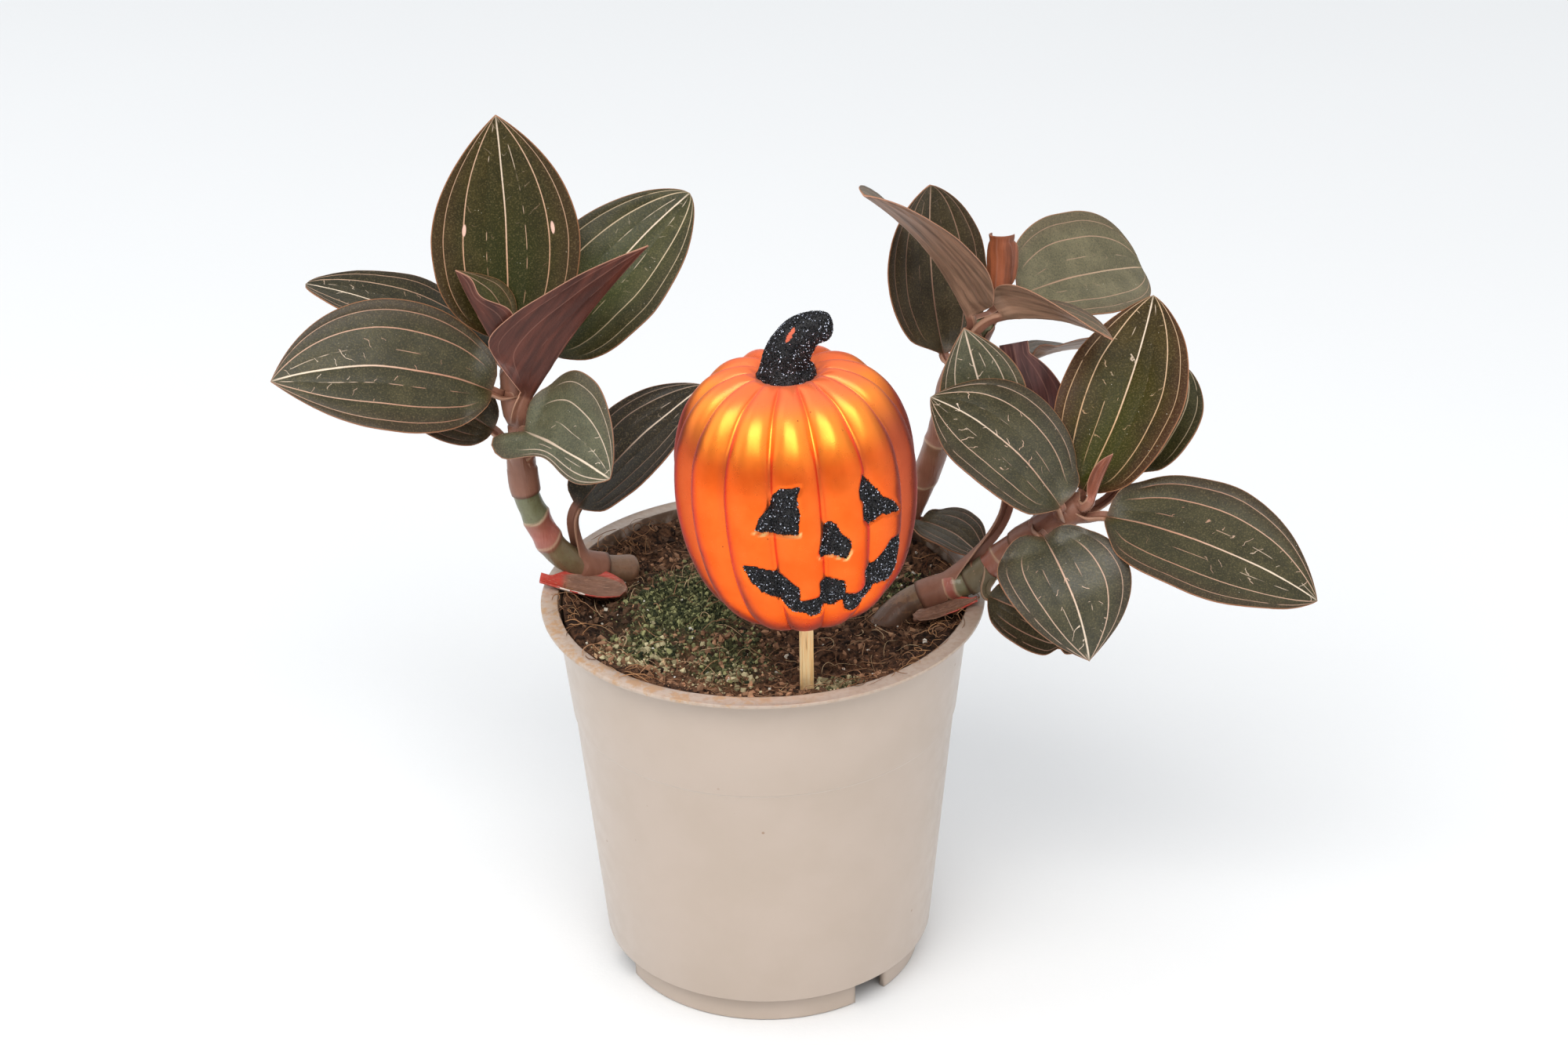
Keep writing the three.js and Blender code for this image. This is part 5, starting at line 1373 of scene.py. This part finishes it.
def build_pumpkin_body():
    count = PUMPKIN["ribs"] * SIDES_PER_RIB
    turn = np.radians(PUMPKIN["groove"]) + circle(count)
    section = spline([(r, 0, z) for r, z in PUMPKIN["profile"]], PUMPKIN_ROWS)
    radius, height = section[:, :1], section[:, 2:]
    ribs = rib_factor(turn)[None]
    skin = radius * ribs
    degrees = np.degrees((turn + np.pi) % (2 * np.pi) - np.pi)[None] + 0 * radius
    heights = height + 0 * skin
    cut, painted_rim_highlight = np.zeros_like(skin), np.zeros_like(skin)
    for name, outline in FACE.items():
        away = outline_distance(outline, degrees, heights)
        cut = np.maximum(cut, 1 - smooth((away + 0.1) / 0.55))
        # a painted highlight along the outline's lower edge
        if name in RIM_HIGHLIGHT_UNDER:
            lowest = min(corner[1] for corner in outline)
            low = heights < lowest + RIM_HIGHLIGHT_UNDER[name]
            painted_rim_highlight = np.maximum(painted_rim_highlight, np.exp(-(((away - 0.5) / 0.22) ** 2)) * low)
    cut *= (radius > 12) & (np.abs(degrees) < 80)
    place = flat_points(radius * np.sin(turn), -radius * np.cos(turn), heights)
    top = smooth((heights - 50) / 12) * smooth((radius - 7) / 8)
    heights = heights - TOP_GROOVE * groove_share(turn) * top
    skin = skin - RECESS * cut + 0.1 * rough_noise(place, 7, 2, 51) * smooth(radius / 8)
    points = flat_points(skin * np.sin(turn), -skin * np.cos(turn), heights).reshape(-1, 3)
    points, faces = capped(points, count, [(0, 0, 0.6), (0, 0, 65.6)])
    depth = smooth((1 - ribs) / PUMPKIN["depth"] * 1.15 - 0.35) + 0 * radius
    # painted shade: the colour darkens round the sides, away from the front
    thin = 0.9 * smooth((np.abs(degrees + 6) - 40) / 42) * smooth((66 - heights) / 12)
    values = {"groove": depth, "painted_rim_highlight": painted_rim_highlight, "thin": thin}
    values = {key: np.r_[value.ravel(), 0, 0] for key, value in values.items()} | {"height": points[:, 2]}
    add_piece("pumpkin_body", pumpkin_place(points), faces, pumpkin_look(), values,
              replaces=("pumpkin_body",))


def glitter_look():
    look = Look("glitter_grains", Metallic=0.4, Roughness=0.25)
    shade = look.attribute("shade")
    colour = look.blend(look.span(shade, 0.6, 0.9), (9, 8, 11), (64, 64, 74))
    # painted glints: the palest grains are near white under any light
    colour = look.blend(look.span(shade, GRAIN["painted_glint"] - 0.01, GRAIN["painted_glint"]), colour, (206, 212, 228))
    look.set(Base_Color=look.blend(look.noise(3.0, 2.0), colour, (0.7, 0.7, 0.7, 1), "MULTIPLY"))
    return look.material


def glue_look():
    look = Look("glitter_ground", Roughness=0.6)
    dust = look.noise(0.35, 2.0, 0.7)
    colour = look.blend(look.span(dust, 0.55, 0.8), (10, 9, 11), (34, 33, 38))
    look.set(Base_Color=look.blend(look.span(look.attribute("bare"), 0.3, 0.5), colour, (206, 94, 62)))
    look.bump(dust, 0.2)
    return look.material


def add_glitter(name, ground, places, glue, grains, bare=()):
    """A piece covered in grains: its ground and its grains are one mesh with two materials."""
    tones = random.random(len(places))
    sizes = random.uniform(GRAIN["low"], GRAIN["high"], len(places))
    # the painted glints are also a little larger
    sizes = sizes * np.where(tones > GRAIN["painted_glint"], 1.25, 1)
    points, faces = merged([ground, scatter(OCTAHEDRON, places, sizes, GRAIN["squash"], GRAIN["jitter"])])
    ground_count = len(ground[0])
    shades = np.r_[np.zeros(ground_count), np.repeat(tones, len(OCTAHEDRON[0]))]
    bald = np.zeros(len(points))
    bald[:len(bare)] = bare
    values = {"shade": shades, "bare": bald}
    piece = add_piece(name, points, faces, glue, values, replaces=(name,), smoothed=False)
    piece.data.materials.append(grains)
    is_grain = np.array([polygon.vertices[0] for polygon in piece.data.polygons]) >= ground_count
    piece.data.polygons.foreach_set("material_index", is_grain.astype(np.int32))


def glue_height(turn, height, away, level):
    """How far the glue stands up from a level: domed from its edge, and lumpy."""
    lumps = GLUE["lumps"] * lattice_noise(flat_points(turn, height), GLUE["lump"], 61)
    return GLUE["dome"] * smooth(-away / GLUE["slope"]) + level + lumps


def face_ground(outline):
    """A domed plate over an outline, on a grid that follows the skin."""
    corners = np.array(outline)
    low, high = corners.min(axis=0) - 0.5, corners.max(axis=0) + 0.5
    columns = int((high[0] - low[0]) * FACE_UNIT / FACE_CELL) + 2
    rows = int((high[1] - low[1]) / FACE_CELL) + 2
    turn, height = np.meshgrid(np.linspace(low[0], high[0], columns), np.linspace(low[1], high[1], rows))
    away = outline_distance(outline, turn, height)
    cells = quads(rows, columns)
    cells = cells[(away.ravel() < GLUE["margin"])[cells].all(axis=1)]
    used, cells = np.unique(cells, return_inverse=True)
    cells = cells.reshape(-1, 4)
    turn, height, away = turn.ravel()[used], height.ravel()[used], away.ravel()[used]
    upper = face_skin(turn, height, glue_height(turn, height, away, GLUE["surface"]))
    lower = face_skin(turn, height, -RECESS - 0.3)
    edges = [(a, b) for cell in cells.tolist() for a, b in zip(cell, cell[1:] + cell[:1])]
    shared, count = {(b, a) for a, b in edges}, len(upper)
    rim = np.array([(b, a, a + count, b + count) for a, b in edges if (a, b) not in shared])
    points = np.vstack((upper, lower))
    return points, outward(points, [cells, cells[:, ::-1] + count, rim])


def build_face(glue, grains):
    for name, outline in FACE.items():
        corners = np.array(outline)
        low, high = corners.min(axis=0) - 1, corners.max(axis=0) + 1
        count = int((high[0] - low[0]) * FACE_UNIT * (high[1] - low[1]) * GRAIN["per_mm2"])
        turn, height = random.uniform(low[0], high[0], count), random.uniform(low[1], high[1], count)
        ragged = GLUE["ragged"] * lattice_noise(flat_points(turn, height), 0.9, 62)
        away = outline_distance(outline, turn, height) + ragged
        keep = away < GLUE["spill"]
        for spot_turn, spot_height, size in BARE_SPOTS:
            keep &= np.hypot((turn - spot_turn) * FACE_UNIT, height - spot_height) > size
        turn, height, away = turn[keep], height[keep], away[keep]
        places = face_skin(turn, height, glue_height(turn, height, away, GLUE["grains"]))
        add_glitter(name, face_ground(outline), places, glue, grains)


def scrape(points):
    """How bare of glitter the stem is: one narrow scrape on its front."""
    way = unit(np.array(SCRAPE["way"]))
    away = points - np.array(SCRAPE["place"])
    along = away @ way
    across = np.linalg.norm(away[:, ::2] - along[:, None] * way[::2], axis=1)
    near = np.exp(-((along / SCRAPE["length"]) ** 4) - (across / SCRAPE["width"]) ** 4)
    return near * (points[:, 1] < 0)


def spread_over(points, faces, per_mm2):
    """Random places on a surface, with the surface's normal at each."""
    corners = points[np.vstack([triangles(group) for group in faces])]
    normals = np.cross(corners[:, 1] - corners[:, 0], corners[:, 2] - corners[:, 0])
    areas = np.linalg.norm(normals, axis=1) / 2
    count = int(areas.sum() * per_mm2)
    pick = random.choice(len(areas), count, p=areas / areas.sum())
    u, v = random.random((2, count, 1))
    flip = u + v > 1
    u, v = np.where(flip, 1 - u, u), np.where(flip, 1 - v, v)
    a, b, c = (corners[pick, k] for k in range(3))
    return a + u * (b - a) + v * (c - a), unit(normals)[pick]


def build_pumpkin_stem(glue, grains):
    line = spline([(x, 0, z) for x, z in STEM_ROUTE], GLITTER_RINGS)
    share = np.linspace(0, 1, GLITTER_RINGS)
    turn = circle(GLITTER_SIDES)
    along = np.r_[0, np.cumsum(np.linalg.norm(np.diff(np.array(STEM_ROUTE), axis=0), axis=1))]
    radii = np.interp(share, along / along[-1], STEM_RADII)[:, None] + 0 * turn
    foot, share = np.exp(-((share / 0.08) ** 2))[:, None], share[:, None]
    radii = radii + foot * (0.7 + 0.5 * np.cos(5 * turn + 1)) + 0.22 * np.cos(3 * turn + share * 4)
    spots = flat_points(np.cos(turn)[None] * 5, np.sin(turn)[None] * 5, share * 18)
    radii = radii + 0.25 * lattice_noise(spots, 2.5, 71)
    radii[-4:] *= np.array(GLITTER_TIP)[:, None]
    points, faces = tube(line, radii, GLITTER_SIDES)
    places, normals = spread_over(points, faces, GRAIN["per_mm2"])
    places = places + normals * 0.08
    places = pumpkin_place(places[scrape(places) < 0.4])
    add_glitter("pumpkin_stem", (pumpkin_place(points), faces), places, glue, grains, scrape(points))


def wood_look():
    look = Look("stick_wood", Specular_IOR_Level=0.3)
    fibres = look.noise(0.5, 4.0, 0.6, stretch=(1, 1, 0.04))
    pores = look.noise(0.25, 2.0, 0.5, stretch=(1, 1, 0.03))
    colour = look.blend(look.span(fibres, 0.3, 0.7), (250, 204, 138), (255, 232, 180))
    colour = look.blend(look.span(pores, 0.58, 0.72, 0.0, 0.6), colour, (150, 108, 66))
    low = look.span(look.parts(look.place)[2], 113.0, 104.0)
    shadow_and_damp = low * look.span(look.noise(1.5, 2.0), 0.2, 0.7, 0.4, 1.0)
    look.set(Base_Color=look.blend(shadow_and_damp, colour, (120, 80, 50)),
             Roughness=look.span(fibres, 0.3, 0.7, 0.5, 0.7))
    look.bump(pores, 0.15)
    return look.material


def build_stick():
    centre, half = (STICK["x"], STICK["y"]), STICK["side"] / 2
    flat = half - STICK["corner"]
    section = np.array((
        (flat, -half), (half, -flat), (half, flat), (flat, half), (-flat, half), (-half, flat),
        (-half, -flat), (-flat, -half),
    ))
    heights = np.linspace(STICK["bottom"], STICK["top"], STICK["rows"])
    rows = []
    for z in heights:
        ends = 0.85 if z in (heights[0], heights[-1]) else 1
        x, y = (section * ends + centre + 0.06 * lattice_noise([z, 0, 0], 14, 81) * np.array((1, 0))).T
        rows.append(flat_points(x, y, z))
    points, faces = capped(np.vstack(rows), len(section), [(*centre, heights[0]), (*centre, heights[-1])])
    add_piece("pick_stick", points, faces, wood_look(), {}, replaces=("pick_stick",),
              smoothed=False)


# ---------------------------------------------------------------- stage
FLOOR_HALF, FLOOR_DROP = 30.0, 0.0002  # metres
LIGHTS = {
    # place in metres, size in metres, watts, colour
    "key": ((-0.15, -0.75, 1.25), (1.5, 0.4), 11.8, (1.0, 0.98, 0.95)),
    "low_key": ((-0.15, -0.99, 1.05), (1.3, 0.25), 3.0, (1.0, 0.98, 0.95)),
    "window": ((-1.3, 0.2, 0.9), (1.2, 1.2), 3.4, (0.96, 0.98, 1.0)),
    "fill": ((1.2, -0.5, 0.8), (1.4, 1.4), 1.7, (1.0, 1.0, 1.0)),
}
AIM = (0, 0, 0.12)
# strengths at the horizon and overhead, and the rises of the view between which it goes up
WORLD = {"colour": (0.96, 0.98, 1.0, 1.0), "level": 0.65, "overhead": 0.93, "rises": (0.15, 0.75)}


def floor_look():
    look = Look("floor", Roughness=0.9, Specular_IOR_Level=0.15)
    look.set(Base_Color=look.blend(look.noise(300.0, 2.0), (229, 230, 231), (232, 233, 234)))
    look.bump(look.noise(1.4, 2.0, 0.6), 0.05)
    return look.material


def add_floor():
    mesh = bpy.data.meshes.new("floor")
    corners = [(x * FLOOR_HALF, y * FLOOR_HALF, 0) for x, y in ((-1, -1), (1, -1), (1, 1), (-1, 1))]
    mesh.from_pydata(corners, [], [(0, 1, 2, 3)])
    mesh.materials.append(floor_look())
    floor = bpy.data.objects.new("floor", mesh)
    floor.location.z = -FLOOR_DROP
    bpy.context.collection.objects.link(floor)


def add_lights():
    for name, (place, size, watts, colour) in LIGHTS.items():
        data = bpy.data.lights.new(name, "AREA")
        data.shape, data.energy, data.color = "RECTANGLE", watts, colour
        data.size, data.size_y = size
        light = bpy.data.objects.new(name, data)
        light.location = place
        light.rotation_euler = (Vector(AIM) - light.location).to_track_quat("-Z", "Y").to_euler()
        bpy.context.collection.objects.link(light)


def add_world():
    """A plain pale sky, brighter overhead."""
    world = bpy.data.worlds.new("studio")
    world.use_nodes = True
    nodes, links = world.node_tree.nodes, world.node_tree.links
    background = nodes["Background"]
    background.inputs["Color"].default_value = WORLD["colour"]
    way, parts, rise = (nodes.new("ShaderNode" + kind) for kind in ("TexCoord", "SeparateXYZ", "MapRange"))
    rise.interpolation_type = "SMOOTHSTEP"
    ends = (*WORLD["rises"], WORLD["level"], WORLD["overhead"])
    for key, value in zip(("From Min", "From Max", "To Min", "To Max"), ends):
        rise.inputs[key].default_value = value
    links.new(way.outputs["Generated"], parts.inputs[0])
    links.new(parts.outputs["Z"], rise.inputs["Value"])
    links.new(rise.outputs[0], background.inputs["Strength"])
    bpy.context.scene.world = world
    bpy.context.scene.view_settings.view_transform = "Standard"


build_pot()
build_soil()
build_plant()
build_pumpkin_body()
ground, grains = glue_look(), glitter_look()
build_face(ground, grains)
build_pumpkin_stem(ground, grains)
build_stick()
add_floor()
add_lights()
add_world()
